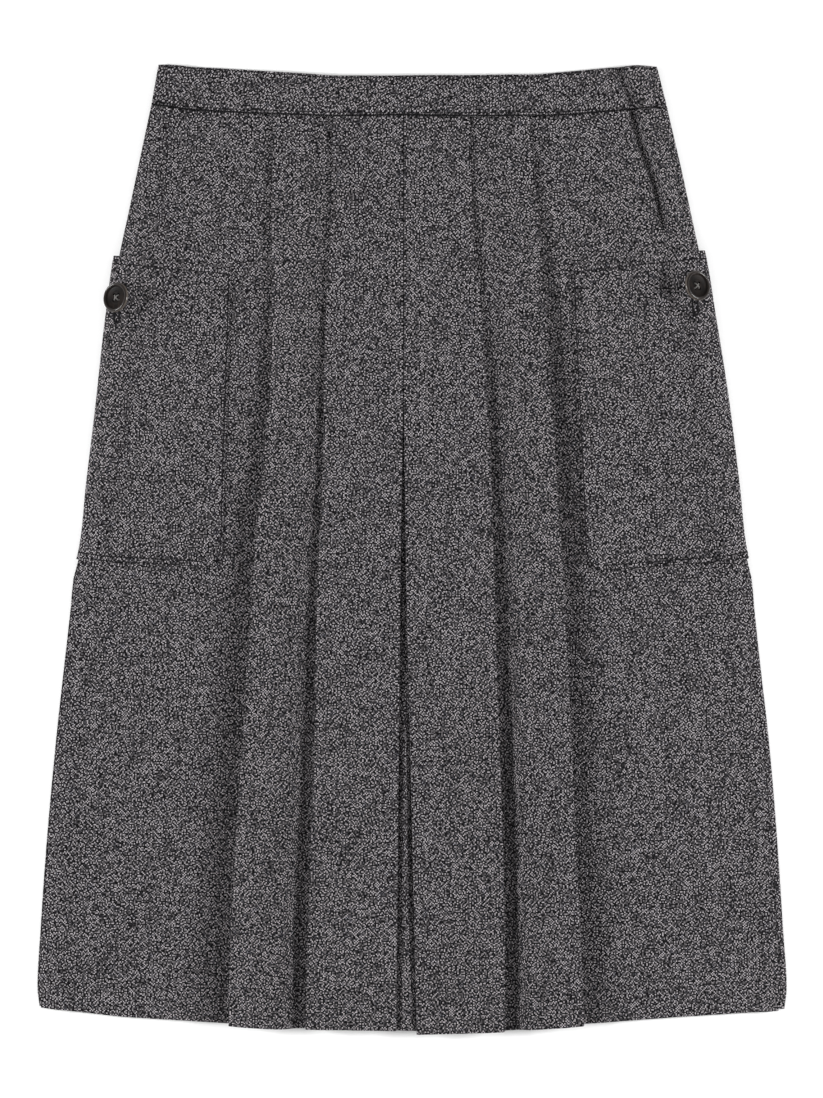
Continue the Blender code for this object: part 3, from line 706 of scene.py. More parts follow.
def weave_lines(points, references, shift):
    """Where each point lies in the flat cloth, in millimetres, the same way round on every piece.
    Columns up to each given one are measured from the column named with it, so the grain
    follows that fold."""
    steps = np.hypot(np.diff(points[..., 0], axis=1), np.diff(points[..., 2], axis=1))
    across = np.concatenate([np.zeros((len(points), 1)), np.cumsum(steps, axis=1)], axis=1)
    laid = across.copy()
    first = 0
    for last, reference in references:
        straight = across[0, reference] - across[:, reference]
        laid[:, first:last] += straight[:, None]
        first = last
    forward = 1.0 if points[0, -1, 0] > points[0, 0, 0] else -1.0
    return np.stack([laid * forward + shift, points[..., 1] + shift], axis=-1)


def cloth(name, points, wall, look, references=()):
    """A grid bent through rows of points, with the weave's own map, then given its wall."""
    along, across = points.shape[0] - 1, points.shape[1] - 1
    grid = bmesh.new()
    bmesh.ops.create_grid(grid, x_segments=across, y_segments=along, size=0.5)
    mesh = as_mesh(name, grid)
    flat = np.empty(len(mesh.vertices) * 3)
    mesh.vertices.foreach_get("co", flat)
    column, row = np.rint((flat.reshape(-1, 3)[:, :2] + 0.5) * (across, along)).astype(int).T
    mesh.vertices.foreach_set("co", in_place(points)[row, column].ravel())
    corners = np.empty(len(mesh.loops), int)
    mesh.loops.foreach_get("vertex_index", corners)
    shift = CUT_APART * len(bpy.data.meshes)
    laid = weave_lines(points, references, shift)[row, column][corners]
    mesh.uv_layers.new(name="weave").data.foreach_set("uv", laid.ravel())
    mesh.shade_smooth()
    made = add_piece(name, mesh, look)
    thick = made.modifiers.new("Cloth wall", "SOLIDIFY")
    thick.thickness = wall * MM
    thick.offset = 0.0
    soften = made.modifiers.new("Soft edges", "BEVEL")
    soften.width = RIM_ROUND * MM
    soften.segments = 2
    soften.limit_method = "ANGLE"
    soften.angle_limit = math.radians(60.0)
    return made


def as_mesh(name, shape):
    mesh = bpy.data.meshes.new(name)
    shape.to_mesh(mesh)
    shape.free()
    return mesh


def add_piece(name, mesh, look):
    made = bpy.data.objects.new(name, mesh)
    mesh.materials.append(look)
    bpy.context.scene.collection.objects.link(made)
    return made


def make_front(half, look):
    lengths = [len(part) for part in front_parts(half, WAIST)]
    starts = np.cumsum([0] + lengths)
    outer_fold, inner_fold = starts[1] + INNER_TURN, starts[3] + INNER_TURN
    references = (
        (outer_fold, outer_fold), (inner_fold, starts[1] + OUTER_TURN),
        (starts[-1], starts[4] + FLAP_TURN),
    )
    points = rows_between(
        lambda down: in_x(half, sum(front_parts(half, down), [])),
        ROW_STEP, panel_head, lambda x: read(HEM[half], x),
    )
    columns = np.arange(points.shape[1])
    tucked = {"fold_2": columns < outer_fold, "fold_1": columns < inner_fold}
    points[..., 2] += lift(points[..., 0], points[..., 1], tucked)
    return cloth(f"front_{half}_cloth", points, CLOTH, look, references)


def make_back(half, look):
    points = rows_between(
        lambda down: in_x(half, back_section(half, down)),
        BACK_ROW_STEP, back_head, lambda x: read(HEM[half], x) - BACK_HEM_SHORTER,
    )
    return cloth(f"back_{half}_cloth", points, CLOTH, look)


def make_underlay(look):
    """Where the flaps part, the underlay rises between them."""
    points = rows_between(
        underlay_section, ROW_STEP, panel_head, lambda x: np.full(x.shape, UNDERLAY_HEM),
    )
    x, down = points[..., 0], points[..., 1]
    left, right = flap_edges(down)
    inside = np.minimum(x - left, right - x) - UNDERLAY_CLEAR
    points[..., 2] += lift(x, down) + UNDERLAY_RISE * ease(inside / UNDERLAY_RAMP)
    return cloth("centre_underlay_cloth", points, CLOTH, look)


def moved_out(points, distance):
    """The path moved to its left by a distance, with mitred corners."""
    points = np.array(points)
    runs = np.diff(points, axis=0)
    lefts = np.stack([-runs[:, 1], runs[:, 0]], axis=-1) / np.hypot(*runs.T)[:, None]
    first, last = np.vstack([lefts[:1], lefts]), np.vstack([lefts, lefts[-1:]])
    mitre = distance / (1.0 + (first * last).sum(axis=1))
    return points + (first + last) * mitre[:, None]


def pocket_section(half, down):
    """The pocket's path from front to back, made from the panels' points and moved out."""
    shape, line = section_at(half, down)
    panels = side_of_front(half, line, shape)[::-1] + side_of_back(half, line, shape)[:-1][::-1]
    path = moved_out(panels, LAYER_STEP)
    flare = max(line.pocket_side - line.side - LAYER_STEP, 0.0)
    path[:, 0] += flare * ease(1.0 - (line.side - path[:, 0]) / POCKET_FLARE)
    return path


def furrow(distance, at):
    """The groove that a row of stitches pulls into the cloth."""
    return FURROW_DEPTH * np.exp(-((distance - at) / FURROW_WIDTH) ** 2)


def pocket_relief(from_mouth, from_edge):
    """The turned-in mouth and the patch stand up a little between their rows of stitches."""
    turned_in = ease(from_mouth / EDGE_FALL) * ease((MOUTH_STITCH - from_mouth) / EDGE_FALL)
    patch = ease((from_mouth - MOUTH_STITCH) / PATCH_RISE)
    patch = patch * ease((from_edge - FOOT_STITCHES[1]) / PATCH_RISE)
    relief = MOUTH_PUFF * turned_in * ease(from_edge / MOUTH_END) + PATCH_PUFF * patch
    return relief - furrow(from_mouth, MOUTH_STITCH) - sum(furrow(from_edge, at) for at in FOOT_STITCHES)


def make_pocket(half, look):
    """Mouth and foot slant, so each column of points is read at its own distances down."""
    at_side, at_edge = POCKET_MOUTH[half]
    shape, line = section_at(half, at_side)
    lowest = POCKET_FOOT[half][0][1] + POCKET_ROW_STEP
    levels = np.arange(at_side - POCKET_ROW_STEP, lowest, POCKET_LEVEL_STEP)
    sections = np.array([pocket_section(half, down) for down in levels])
    inside = np.maximum(pocket_section(half, at_side)[:, 0] - line.pocket_edge, 0.0)
    mouth = between(at_edge, at_side, inside / (line.pocket_side - line.pocket_edge))
    to_corner = np.clip(1.0 - inside / POCKET_CORNER, 0.0, 1.0)
    foot = read(POCKET_FOOT[half], inside) - CORNER_RISE[half] * (1.0 - np.sqrt(1.0 - to_corner ** 2))
    deepest = foot.max() - mouth.min()
    part = np.array(row_places(deepest, POCKET_ROW_STEP, MOUTH_STEPS, FOOT_STEPS))[:, None] / deepest
    down = between(mouth, foot, part)
    out, up = np.empty(down.shape), np.empty(down.shape)
    for column in range(down.shape[1]):
        out[:, column] = np.interp(down[:, column], levels, sections[:, column, 0])
        up[:, column] = np.interp(down[:, column], levels, sections[:, column, 1])
    front = np.arange(down.shape[1]) < len(side_of_front(half, line, shape))
    points = np.stack([facing(half) * out, down, up], axis=-1)
    raised = lift(points[..., 0], down)
    sewn_edge = np.vstack([points[::ROWS_ALONG_EDGE, 0, :2], points[-1, front, :2]])
    from_edge, _ = from_route(points[..., 0], down, sewn_edge)
    raised += pocket_relief(down - mouth, from_edge) * ease(raised / LAID_HEIGHT)
    points[..., 2] += np.where(front, raised, 0.0)
    return cloth(f"pocket_{half}_cloth", points, CLOTH, look), points, front, inside


def band_half(half, side):
    """Half of the waistband's section, from the centre back round the side to the front."""
    line = Lines(*LINES[half][0])._replace(side=side)
    middle, _, ramp_end, _, foot, roll, _ = seam_stations(half, line)
    lying = BAND_WALL + LAYER_GAP + BAND_WALL / 2
    on_back = [middle + SEAM_GAP / 2] + run(middle + SEAM_GAP / 2, roll, BAND_BACK_COLUMNS)
    points = [(out, BAND_WALL / 2) for out in on_back]
    for angle in [-90.0] + run(-90.0, 90.0, BAND_ROLL_COLUMNS):
        points.append(roll_point(angle, side, 0.0, BAND_ROLL, BAND_WALL))
    top = points[-1][1]
    for part in run(0.0, 1.0, BAND_FALL_COLUMNS):
        points.append((side - ROLL_OVER - ROLL_FALL * part, between(top, lying, ease(part))))
    points += [(out, lying) for out in run(foot, ramp_end, BAND_SIDE_COLUMNS)]
    over_pleats = line.fold_2 - PLEAT_CLEAR
    for part in run(0.0, 1.0, BAND_RAMP_COLUMNS):
        points.append((between(ramp_end, over_pleats, part), lying + BAND_OVER_PLEATS * ease(part)))
    for out in run(over_pleats, middle, BAND_FRONT_COLUMNS):
        points.append((out, lying + BAND_OVER_PLEATS + over_zip(half, out, SHAPES[0])))
    return points


def make_waistband(look):
    """One strip from centre back to centre back, between its top edge and the waist seam."""
    sides = {half: LINES[half][0][0] for half in HALVES}
    edges = []
    for edge, side in ((lambda x: read(BAND_TOP, x), BAND_SIDE_TOP), (waist_seam, sides)):
        path = in_x("left", band_half("left", side["left"]))
        path += in_x("right", band_half("right", side["right"]))[-2::-1]
        x, up = np.array(path).T
        edges.append(np.stack([x, edge(x), up], axis=-1))
    front = edges[0][:, 2] > between(BAND_WALL / 2, BAND_ROLL - BAND_WALL / 2, ROLL_TIP)
    edges[1][:, 1] -= np.where(front, SEAM_DITCH / 2, SEAM_GAP / 2)
    depth = (edges[1][:, 1] - edges[0][:, 1]).mean()
    places = row_places(depth, BAND_ROW_STEP, BAND_TOP_STEPS, BAND_SEAM_STEPS)
    points = between(edges[0], edges[1], np.array(places)[:, None, None] / depth)
    from_top, from_seam = points[..., 1] - edges[0][:, 1], edges[1][:, 1] - points[..., 1]
    raised = lift(points[..., 0], points[..., 1]) + BAND_CROWN * stillness(points[..., 0], points[..., 1])
    raised = raised * ease(from_top / EDGE_FALL) * ease(from_seam / EDGE_FALL)
    raised -= furrow(from_top, BAND_STITCHES[0]) + furrow(from_seam, BAND_STITCHES[1])
    points[..., 2] += np.where(front, raised, 0.0)
    return cloth("waistband_cloth", points, BAND_WALL, look), points


# Zip
ZIP_HALF_WIDTH = 12.0
ZIP_LEVELS = (
    (13.0, BAND_WALL + SEAM_GAP), (40.0, BAND_WALL + SEAM_GAP), (54.0, CLOTH + SEAM_GAP),
    (190.0, CLOTH + SEAM_GAP),
)


def make_zip(look):
    across = np.linspace(CENTRE_BACK - ZIP_HALF_WIDTH, CENTRE_BACK + ZIP_HALF_WIDTH, TAPE_COLUMNS)
    rows = []
    for down in np.linspace(ZIP_LEVELS[0][0], ZIP_LEVELS[-1][0], TAPE_ROWS):
        level = float(read(ZIP_LEVELS, down)) + TAPE / 2
        rows.append([(x, down, level) for x in across])
    return cloth("zip_tape_cloth", np.array(rows), TAPE, look)


class Look:
    """A material. Its method adds any node and gives back the node's socket."""

    def __init__(self, name):
        self.material = bpy.data.materials.new(name)
        self.material.use_nodes = True
        self.tree = self.material.node_tree
        self.surface = self.tree.nodes["Principled BSDF"]

    def node(self, kind, settings=None, sockets=None, output=0):
        made = self.tree.nodes.new(kind)
        for name, value in (settings or {}).items():
            setattr(made, name, value)
        for name, value in (sockets or {}).items():
            self.connect(value, made.inputs[name])
        return Socket(self, made.outputs[output])

    def connect(self, value, socket):
        if isinstance(value, Socket):
            self.tree.links.new(value.socket, socket)
        else:
            socket.default_value = value

    def finish(self, **surface):
        for name, value in surface.items():
            self.connect(value, self.surface.inputs[name.replace("_", " ")])
        return self.material


class Socket:
    """A shader socket on which sums are written as on a number."""

    def __init__(self, look, socket):
        self.look, self.socket = look, socket

    def math(self, operation, *others):
        values = dict(enumerate((self, *others)))
        return self.look.node("ShaderNodeMath", {"operation": operation}, values)

    def __add__(self, other):
        return self.math("ADD", other)

    __radd__ = __add__

    def __mul__(self, other):
        return self.math("MULTIPLY", other)

    __rmul__ = __mul__

    def __sub__(self, other):
        return self.math("SUBTRACT", other)

    def __rsub__(self, other):
        return self.look.node("ShaderNodeMath", {"operation": "SUBTRACT"}, {0: other, 1: self})

    def __truediv__(self, other):
        return self.math("DIVIDE", other)

    def __pow__(self, other):
        return self.math("POWER", other)

    def __gt__(self, other):
        return self.math("GREATER_THAN", other)

    def ramp(self, low, high):
        """0 below low, 1 above high, smooth between."""
        return self.look.node(
            "ShaderNodeMapRange", {"interpolation_type": "SMOOTHSTEP"},
            {"Value": self, "From Min": low, "From Max": high},
        )


def vector(look, x, y, z=0.0):
    return look.node("ShaderNodeCombineXYZ", None, {"X": x, "Y": y, "Z": z})


def noise_at(look, place, scale, detail=0.0, roughness=0.5):
    """Soft noise from 0 to 1."""
    return look.node(
        "ShaderNodeTexNoise", {"noise_dimensions": "3D"},
        {"Vector": place, "Scale": scale, "Detail": detail, "Roughness": roughness},
    )


def mixed(look, part, a, b):
    """Colour between a and b."""
    made = look.tree.nodes.new("ShaderNodeMix")
    made.data_type = "RGBA"
    for value, index in ((part, 0), (a, 6), (b, 7)):
        look.connect(value, made.inputs[index])
    return Socket(look, made.outputs[2])


# Melange wool in plain weave, lengths in millimetres of the cloth
YARN_PITCH = 0.95
YARN_WANDER = 0.12
WANDER_SCALE = 0.16
FIBRE_ACROSS = 2.6
CROWN_SPAN = (0.15, 0.5)
# Share of a yarn's colour kept at its edges, where painted shade between the yarns darkens it
GAP_SHADE_LEVEL = 0.7
DARK_YARN = (0.0045, 0.0042, 0.0046, 1.0)
COOL_YARN = (0.324, 0.320, 0.369, 1.0)
WARM_YARN = (0.360, 0.337, 0.351, 1.0)
TONE_MIDDLE = 0.22
TONE_CURVE = 2.2
GRAIN = 1.65
GRAIN_SPREAD = 0.46
FIBRE = 0.1
SLUBS = 0.5
SLUB_SCALE = 0.05
YARN_RELIEF = 0.00022
WOOL_SHEEN = 0.012
WOOL_GLOSS = 0.03


def wool_look():
    """Charcoal and pale grey fibres spun together, woven one over one. The flecks of one crossing
    are kept apart from its neighbours' tone, so the grain is even at a distance. Each yarn's colour
    is painted darker towards its edges, as shade in the gaps between the yarns."""
    look = Look("melange_wool")
    laid = look.node("ShaderNodeUVMap", {"uv_map": "weave"})
    parts = [look.node("ShaderNodeSeparateXYZ", None, {"Vector": laid}, axis) for axis in (0, 1)]
    wander = [
        noise_at(look, vector(look, *parts, shift), WANDER_SCALE, 1.0) - 0.5 for shift in (3.0, 11.0)
    ]
    u, v = (part + push * (2 * YARN_WANDER) for part, push in zip(parts, wander))
    in_warp, in_weft = u / YARN_PITCH, v / YARN_PITCH
    warp, weft = in_warp.math("FLOOR"), in_weft.math("FLOOR")
    over = (warp + weft).math("FLOORED_MODULO", 2.0) > 0.5
    under = 1.0 - over

    def fleck(aside, ahead):
        return look.node(
            "ShaderNodeTexWhiteNoise", {"noise_dimensions": "2D"},
            {"Vector": vector(look, warp + (aside + 0.5), weft + (ahead + 0.5))},
        )

    grain = fleck(0, 0)
    around = fleck(1, 0) + fleck(-1, 0) + fleck(0, 1) + fleck(0, -1)
    along_fibre = vector(look, u * (over + under * FIBRE_ACROSS), v * (over * FIBRE_ACROSS + under))
    fibre = noise_at(look, along_fibre, 1.0, 1.0)
    warp_slub = noise_at(look, vector(look, warp * 3.7, v * SLUB_SCALE, 5.5), 1.0, 1.0)
    weft_slub = noise_at(look, vector(look, weft * 4.3, u * SLUB_SCALE, 2.5), 1.0, 1.0)
    slub = over * warp_slub + under * weft_slub
    tone = (TONE_MIDDLE + (grain - 0.5) * GRAIN - (around - 2.0) * GRAIN_SPREAD
            + (fibre - 0.5) * FIBRE + (slub - 0.5) * SLUBS).math("MAXIMUM", 0.0) ** TONE_CURVE
    crown_warp = (in_warp.math("FRACT") - 0.5).math("ABSOLUTE")
    crown_weft = (in_weft.math("FRACT") - 0.5).math("ABSOLUTE")
    relief = 1.0 - (over * crown_warp + under * crown_weft).ramp(*CROWN_SPAN)
    pale = mixed(look, grain.ramp(0.2, 0.8), COOL_YARN, WARM_YARN)
    # Painted shade: each yarn's colour is darkened towards its edges, in the gaps between the yarns
    gap_shaded_tone = tone.math("MINIMUM", 1.0) * (GAP_SHADE_LEVEL + relief * (1.0 - GAP_SHADE_LEVEL))
    colour = mixed(look, gap_shaded_tone, DARK_YARN, pale)
    bump = bump_of(look, relief * 0.7 + fibre * 0.3, 0.7, YARN_RELIEF)
    return look.finish(
        Base_Color=colour, Roughness=0.86 + fibre * 0.12, Normal=bump,
        Sheen_Weight=WOOL_SHEEN, Specular_IOR_Level=WOOL_GLOSS,
    )


def place_of(look):
    """Place on the piece in millimetres."""
    coordinates = look.node("ShaderNodeTexCoord", None, None, 3)
    return look.node("ShaderNodeVectorMath", {"operation": "SCALE"}, {0: coordinates, "Scale": 1 / MM})


THREAD_GLOSS = 0.1
HORN_GLOSS = 0.06
RIM_FROM = 8.7
RIM_DISH = 8.1
# Radii over which the outer edge is painted paler as a highlight
EDGE_HIGHLIGHT_SPAN = (10.6, 11.1)
RIM_COAT = 0.5
RIM_POLISH = 0.12
HORN_DARK = (0.0025, 0.002, 0.002, 1.0)
HORN_CLOUD = (0.009, 0.006, 0.005, 1.0)
HORN_STREAK = (0.024, 0.016, 0.012, 1.0)
# Painted highlights: a paler rim, and an outer edge paler still
HORN_RIM_HIGHLIGHT = (0.018, 0.013, 0.011, 1.0)
HORN_EDGE_HIGHLIGHT = (0.085, 0.072, 0.062, 1.0)
TAPE_DARK = (0.014, 0.014, 0.015, 1.0)
TAPE_LIGHT = (0.045, 0.045, 0.048, 1.0)
METAL_DARK = (0.16, 0.155, 0.15, 1.0)
METAL_WORN = (0.34, 0.33, 0.32, 1.0)
FLOOR_COLOURS = ((0.93, 0.93, 0.93, 1.0), (0.96, 0.96, 0.96, 1.0))
FINE_BUMP = 0.0001


def bump_of(look, height, strength, distance=FINE_BUMP):
    return look.node(
        "ShaderNodeBump", None, {"Strength": strength, "Distance": distance, "Height": height},
    )


def thread_look(name, dark, light):
    """Twisted thread with darker and lighter strands."""
    look = Look(name)
    place = place_of(look)
    strands = noise_at(look, place, 2.6, 2.0)
    colour = mixed(look, strands.ramp(0.3, 0.7), (*dark, 1.0), (*light, 1.0))
    bump = bump_of(look, strands, 0.4)
    return look.finish(
        Base_Color=colour, Roughness=0.7 + strands * 0.2, Normal=bump, Specular_IOR_Level=THREAD_GLOSS,
    )


def horn_look(half):
    """Dark brown horn with clouds, fine streaks and turned rings. Its rim is polished and painted
    paler as a highlight, and its outer edge is painted paler still as a highlight."""
    look = Look(f"dark_horn_{half}")
    place = place_of(look)
    clouds = noise_at(look, place, 0.11, 3.0)
    parts = [look.node("ShaderNodeSeparateXYZ", None, {"Vector": place}, axis) for axis in (0, 1)]
    streaks = noise_at(look, vector(look, parts[0] * 0.9, parts[1] * 0.12), 1.0, 3.0)
    from_axis = []
    for side in (button_turn(half).col[0], button_turn(half).col[1]):
        along = look.node("ShaderNodeVectorMath", {"operation": "DOT_PRODUCT"}, {0: place, 1: side}, 1)
        from_axis.append((along - button_middle(half).dot(side) / MM) ** 2)
    radius = (from_axis[0] + from_axis[1]) ** 0.5
    rim = radius.ramp(RIM_DISH, RIM_FROM)
    dark = mixed(look, clouds.ramp(0.35, 0.65), HORN_DARK, HORN_CLOUD)
    streaked = mixed(look, streaks.ramp(0.5, 0.8) * 0.6, dark, HORN_STREAK)
    # Painted highlight: the rim is painted paler than the dish
    rimmed = mixed(look, rim * (0.35 + clouds * 0.4), streaked, HORN_RIM_HIGHLIGHT)
    # Painted highlight: the outer edge is painted paler still
    colour = mixed(look, radius.ramp(*EDGE_HIGHLIGHT_SPAN), rimmed, HORN_EDGE_HIGHLIGHT)
    turned_rings = (radius * 1.7).math("FRACT").math("PINGPONG", 0.5)
    bump = bump_of(look, turned_rings, 0.3)
    return look.finish(
        Base_Color=colour, Roughness=0.32 + clouds * 0.16, Normal=bump,
        Specular_IOR_Level=HORN_GLOSS, Coat_Weight=rim * RIM_COAT, Coat_Roughness=RIM_POLISH,
    )


def tape_look():
    look = Look("zip_tape_weave")
    laid = look.node("ShaderNodeUVMap", {"uv_map": "weave"})
    u, v = (look.node("ShaderNodeSeparateXYZ", None, {"Vector": laid}, axis) for axis in (0, 1))
    ribs = (u / 0.5).math("FRACT").math("PINGPONG", 0.5)
    grain = noise_at(look, vector(look, u * 3.0, v * 1.2), 1.0, 2.0)
    colour = mixed(look, ribs * 1.2 + grain * 0.4, TAPE_DARK, TAPE_LIGHT)
    bump = bump_of(look, ribs, 0.5)
    return look.finish(Base_Color=colour, Roughness=0.7 + grain * 0.2, Normal=bump)


def metal_look():
    look = Look("darkened_zip_metal")
    place = place_of(look)
    wear = noise_at(look, place, 0.8, 3.0)
    colour = mixed(look, wear.ramp(0.4, 0.7), METAL_DARK, METAL_WORN)
    bump = bump_of(look, wear, 0.1)
    return look.finish(Base_Color=colour, Roughness=0.28 + wear * 0.25, Metallic=1.0, Normal=bump)


def floor_look():
    look = Look("pale_surface")
    grain = noise_at(look, place_of(look), 0.01, 2.0)
    colour = mixed(look, grain, *FLOOR_COLOURS)
    return look.finish(Base_Color=colour, Roughness=0.9)


# Buttons, as the solids have them but finer
BUTTON_TILT = 34.0
BUTTON_NOD = 7.0
BUTTON_STEPS = 64
HOLE_RADIUS = 1.25
HOLE_FROM_MIDDLE = 1.95
BUTTON_PROFILE = (
    (0.0, 0.0), (4.0, 0.0), (8.2, 0.05), (10.2, 0.7), (11.1, 1.9), (11.0, 3.0), (10.3, 3.8),
    (9.5, 3.9), (8.8, 3.4), (8.3, 2.4), (6.6, 2.05), (4.6, 1.9), (2.0, 1.82), (0.0, 1.8),
)
PROFILE_POINTS = 46
RING_DEPTH = 0.05
RING_RATE = 7.0
DISH_FROM_POINT = 8.5
RINGS_FROM_RADIUS = 3.5
DRILL_LENGTH = 12.0
DRILL_SIDES = 20
SHARP_ANGLE = 40.0

# Thread of a button: strands between two holes, and the wound shank
STRAND_ASIDE = 0.24
STRAND_RADIUS = 0.27
STRAND_FOOT = 1.2
STRAND_ARCH = 1.35
ARCH_POWER = 0.6
UPPER_RISE = 0.15
STRAND_POINTS = 12
SHANK_RADII = (1.5, 2.1)
SHANK_LENGTH = 2.4
SHANK_MIDDLE = -1.0
SHANK_SIDES = 16


def button_turn(half):
    return Euler((-math.radians(BUTTON_NOD), facing(half) * math.radians(BUTTON_TILT), 0.0)).to_matrix()


def button_middle(half):
    low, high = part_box(f"button_{half}")
    return (low + high) / 2


button_centre = {half: from_place(button_middle(half)) for half in HALVES}


def turned_button():
    """Half profile with fine turned rings in its dish, spun round."""
    along = np.linspace(0.0, len(BUTTON_PROFILE) - 1.0, PROFILE_POINTS)
    curve = SmoothTable(range(len(BUTTON_PROFILE)), BUTTON_PROFILE)
    shape = bmesh.new()
    profile = []
    for at in along:
        radius, height = curve(at)
        in_dish = at > DISH_FROM_POINT and radius > RINGS_FROM_RADIUS
        rings = RING_DEPTH * math.sin(radius * RING_RATE) if in_dish else 0.0
        profile.append(shape.verts.new((max(radius, 0.0), 0.0, height + rings)))
    edges = [shape.edges.new(pair) for pair in zip(profile, profile[1:])]
    bmesh.ops.spin(
        shape, geom=profile + edges, cent=(0, 0, 0), axis=(0, 0, 1), angle=math.tau,
        steps=BUTTON_STEPS, use_merge=True,
    )
    bmesh.ops.remove_doubles(shape, verts=shape.verts, dist=1e-4)
    bmesh.ops.recalc_face_normals(shape, faces=shape.faces)
    return shape


def hole_places():
    corners = [math.radians(45.0 + 90.0 * corner) for corner in range(4)]
    reach = HOLE_FROM_MIDDLE * math.sqrt(2.0)
    return [Vector((math.cos(angle), math.sin(angle), 0.0)) * reach for angle in corners]


def as_object(name, shape):
    made = bpy.data.objects.new(name, as_mesh(name, shape))
    bpy.context.scene.collection.objects.link(made)
    return made


def bored(shape):
    """The button with its four holes cut, as a bmesh."""
    rods = bmesh.new()
    for place in hole_places():
        bmesh.ops.create_cone(
            rods, cap_ends=True, segments=DRILL_SIDES, radius1=HOLE_RADIUS, radius2=HOLE_RADIUS,
            depth=DRILL_LENGTH, matrix=Matrix.Translation(place),
        )
    button, cutter = as_object("button_blank", shape), as_object("button_drill", rods)
    holes = button.modifiers.new("Holes", "BOOLEAN")
    holes.operation = "DIFFERENCE"
    holes.solver = "EXACT"
    holes.object = cutter
    bpy.context.view_layer.update()
    cut = bmesh.new()
    cut.from_object(button, bpy.context.evaluated_depsgraph_get())
    for made in (button, cutter):
        bpy.data.objects.remove(made)
    return cut


def strand(shape, route, radius, sides=8):
    """A thread along a route, with closed ends."""
    rings = []
    for i, point in enumerate(route):
        ahead = (Vector(route[min(i + 1, len(route) - 1)]) - Vector(route[max(i - 1, 0)])).normalized()
        turned = ahead.to_track_quat("Z", "Y").to_matrix().to_4x4()
        ring = bmesh.ops.create_circle(
            shape, segments=sides, radius=radius, matrix=Matrix.Translation(point) @ turned,
            cap_ends=i in (0, len(route) - 1),
        )["verts"]
        rings.append(ring)
    for low, high in zip(rings, rings[1:]):
        edges = [edge for edge in {edge for vert in low + high for edge in vert.link_edges}
                 if (edge.verts[0] in low) == (edge.verts[1] in low)]
        bmesh.ops.bridge_loops(shape, edges=edges)


def button_thread():
    """Two crossed pairs of strands over the dish, ending in the holes, and a shank below."""
    shape = bmesh.new()
    places = hole_places()
    for first, last in ((0, 2), (1, 3)):
        for side in (-STRAND_ASIDE, STRAND_ASIDE):
            a, b = places[first], places[last]
            aside = Vector((a.y, -a.x, 0.0)).normalized() * side
            route = []
            for part in [0.0] + run(0.0, 1.0, STRAND_POINTS):
                arch = STRAND_FOOT + STRAND_ARCH * math.sin(math.pi * part) ** ARCH_POWER
                height = Vector((0.0, 0.0, arch + UPPER_RISE * first))
                route.append(a.lerp(b, part) + aside + height)
            strand(shape, route, STRAND_RADIUS)
    bmesh.ops.create_cone(
        shape, cap_ends=True, segments=SHANK_SIDES, radius1=SHANK_RADII[0], radius2=SHANK_RADII[1],
        depth=SHANK_LENGTH, matrix=Matrix.Translation((0.0, 0.0, SHANK_MIDDLE)),
    )
    return shape


def settled(shape, half):
    """Turns a button's part the way the button is tilted."""
    turned = button_turn(half)
    for vert in shape.verts:
        vert.co = turned @ vert.co
    return shape


def make_button(half, horn, thread):
    """The fine button's box gets the solid's middle, and its thread goes with it."""
    button = settled(bored(turned_button()), half)
    box = np.array([vert.co for vert in button.verts])
    move = button_middle(half) - Vector((box.min(axis=0) + box.max(axis=0)) / 2) * MM
    pieces = []
    for name, shape, look in ((f"button_{half}_horn", button, horn),
                              (f"button_{half}_thread", settled(button_thread(), half), thread)):
        for vert in shape.verts:
            vert.co = vert.co * MM + move
        bmesh.ops.recalc_face_normals(shape, faces=shape.faces)
        mesh = as_mesh(name, shape)
        mesh.shade_smooth()
        mesh.set_sharp_from_angle(angle=math.radians(SHARP_ANGLE))
        pieces.append(add_piece(name, mesh, look))
    return pieces


# Stitches and buttonholes
STITCH_LENGTH = 3.1
STITCH_PITCH = 3.0
STITCH_WIDTH = 1.2
STITCHES_AT_ONCE = 40
TWIST_WIDTH = 0.95
TWIST_PITCH = 0.7
TWIST_RISE = 0.3
TWIST_REACH = (0.9, 2.8)
TWISTS_ROUND_FOOT = 12
BUTTONHOLE_LENGTH = 22.5
BUTTONHOLE_LEAN = {"left": 0.0, "right": -0.06}
BUTTONHOLE_FOOT = {"left": (-218.3, 193.5), "right": (209.3, 187.8)}
BAR_TACK = {"left": (-147.0, -136.5, 168.0), "right": (120.0, 131.0, 167.0)}
BAR_TACK_REACH = 0.7


def outer_side(points, wall, sign):
    """A wall's outer face, each point moved from the wall's middle along its row's own normal,
    and kept so high that a stitch there doesn't go below the garment."""
    across = np.gradient(points, axis=1)
    turned = np.stack([across[..., 2], np.zeros(across.shape[:2]), -across[..., 0]], axis=-1)
    face = points + sign * turned / np.linalg.norm(turned, axis=-1, keepdims=True) * (wall / 2)
    face[..., 2] = np.maximum(face[..., 2], STITCH_WIDTH / 2)
    return face


def passed_along(route):
    """How far along a route each of its points lies."""
    return np.concatenate([[0.0], np.cumsum(np.linalg.norm(np.diff(route, axis=0), axis=1))])


def point_at(at, passed, route):
    return [np.interp(at, passed, route[:, axis]) for axis in range(3)]


def stitch_line(face, distance):
    """A route over a face's columns, at a distance from its first row, or below 0 its last."""
    route = []
    for line in face.transpose(1, 0, 2):
        passed = passed_along(line)
        at = distance if distance >= 0 else passed[-1] + distance
        route.append(point_at(at, passed, line))
    return np.array(route)


def sewn(route):
    """Stitches end to end along a route."""
    passed = passed_along(route)
    half_length = STITCH_LENGTH / 2
    stitches = []
    for i in range(int(passed[-1] / STITCH_PITCH)):
        middle = (i + 0.5) * STITCH_PITCH
        start, end = (point_at(middle + step, passed, route) for step in (-half_length, half_length))
        stitches.append((start, end, STITCH_WIDTH))
    return stitches


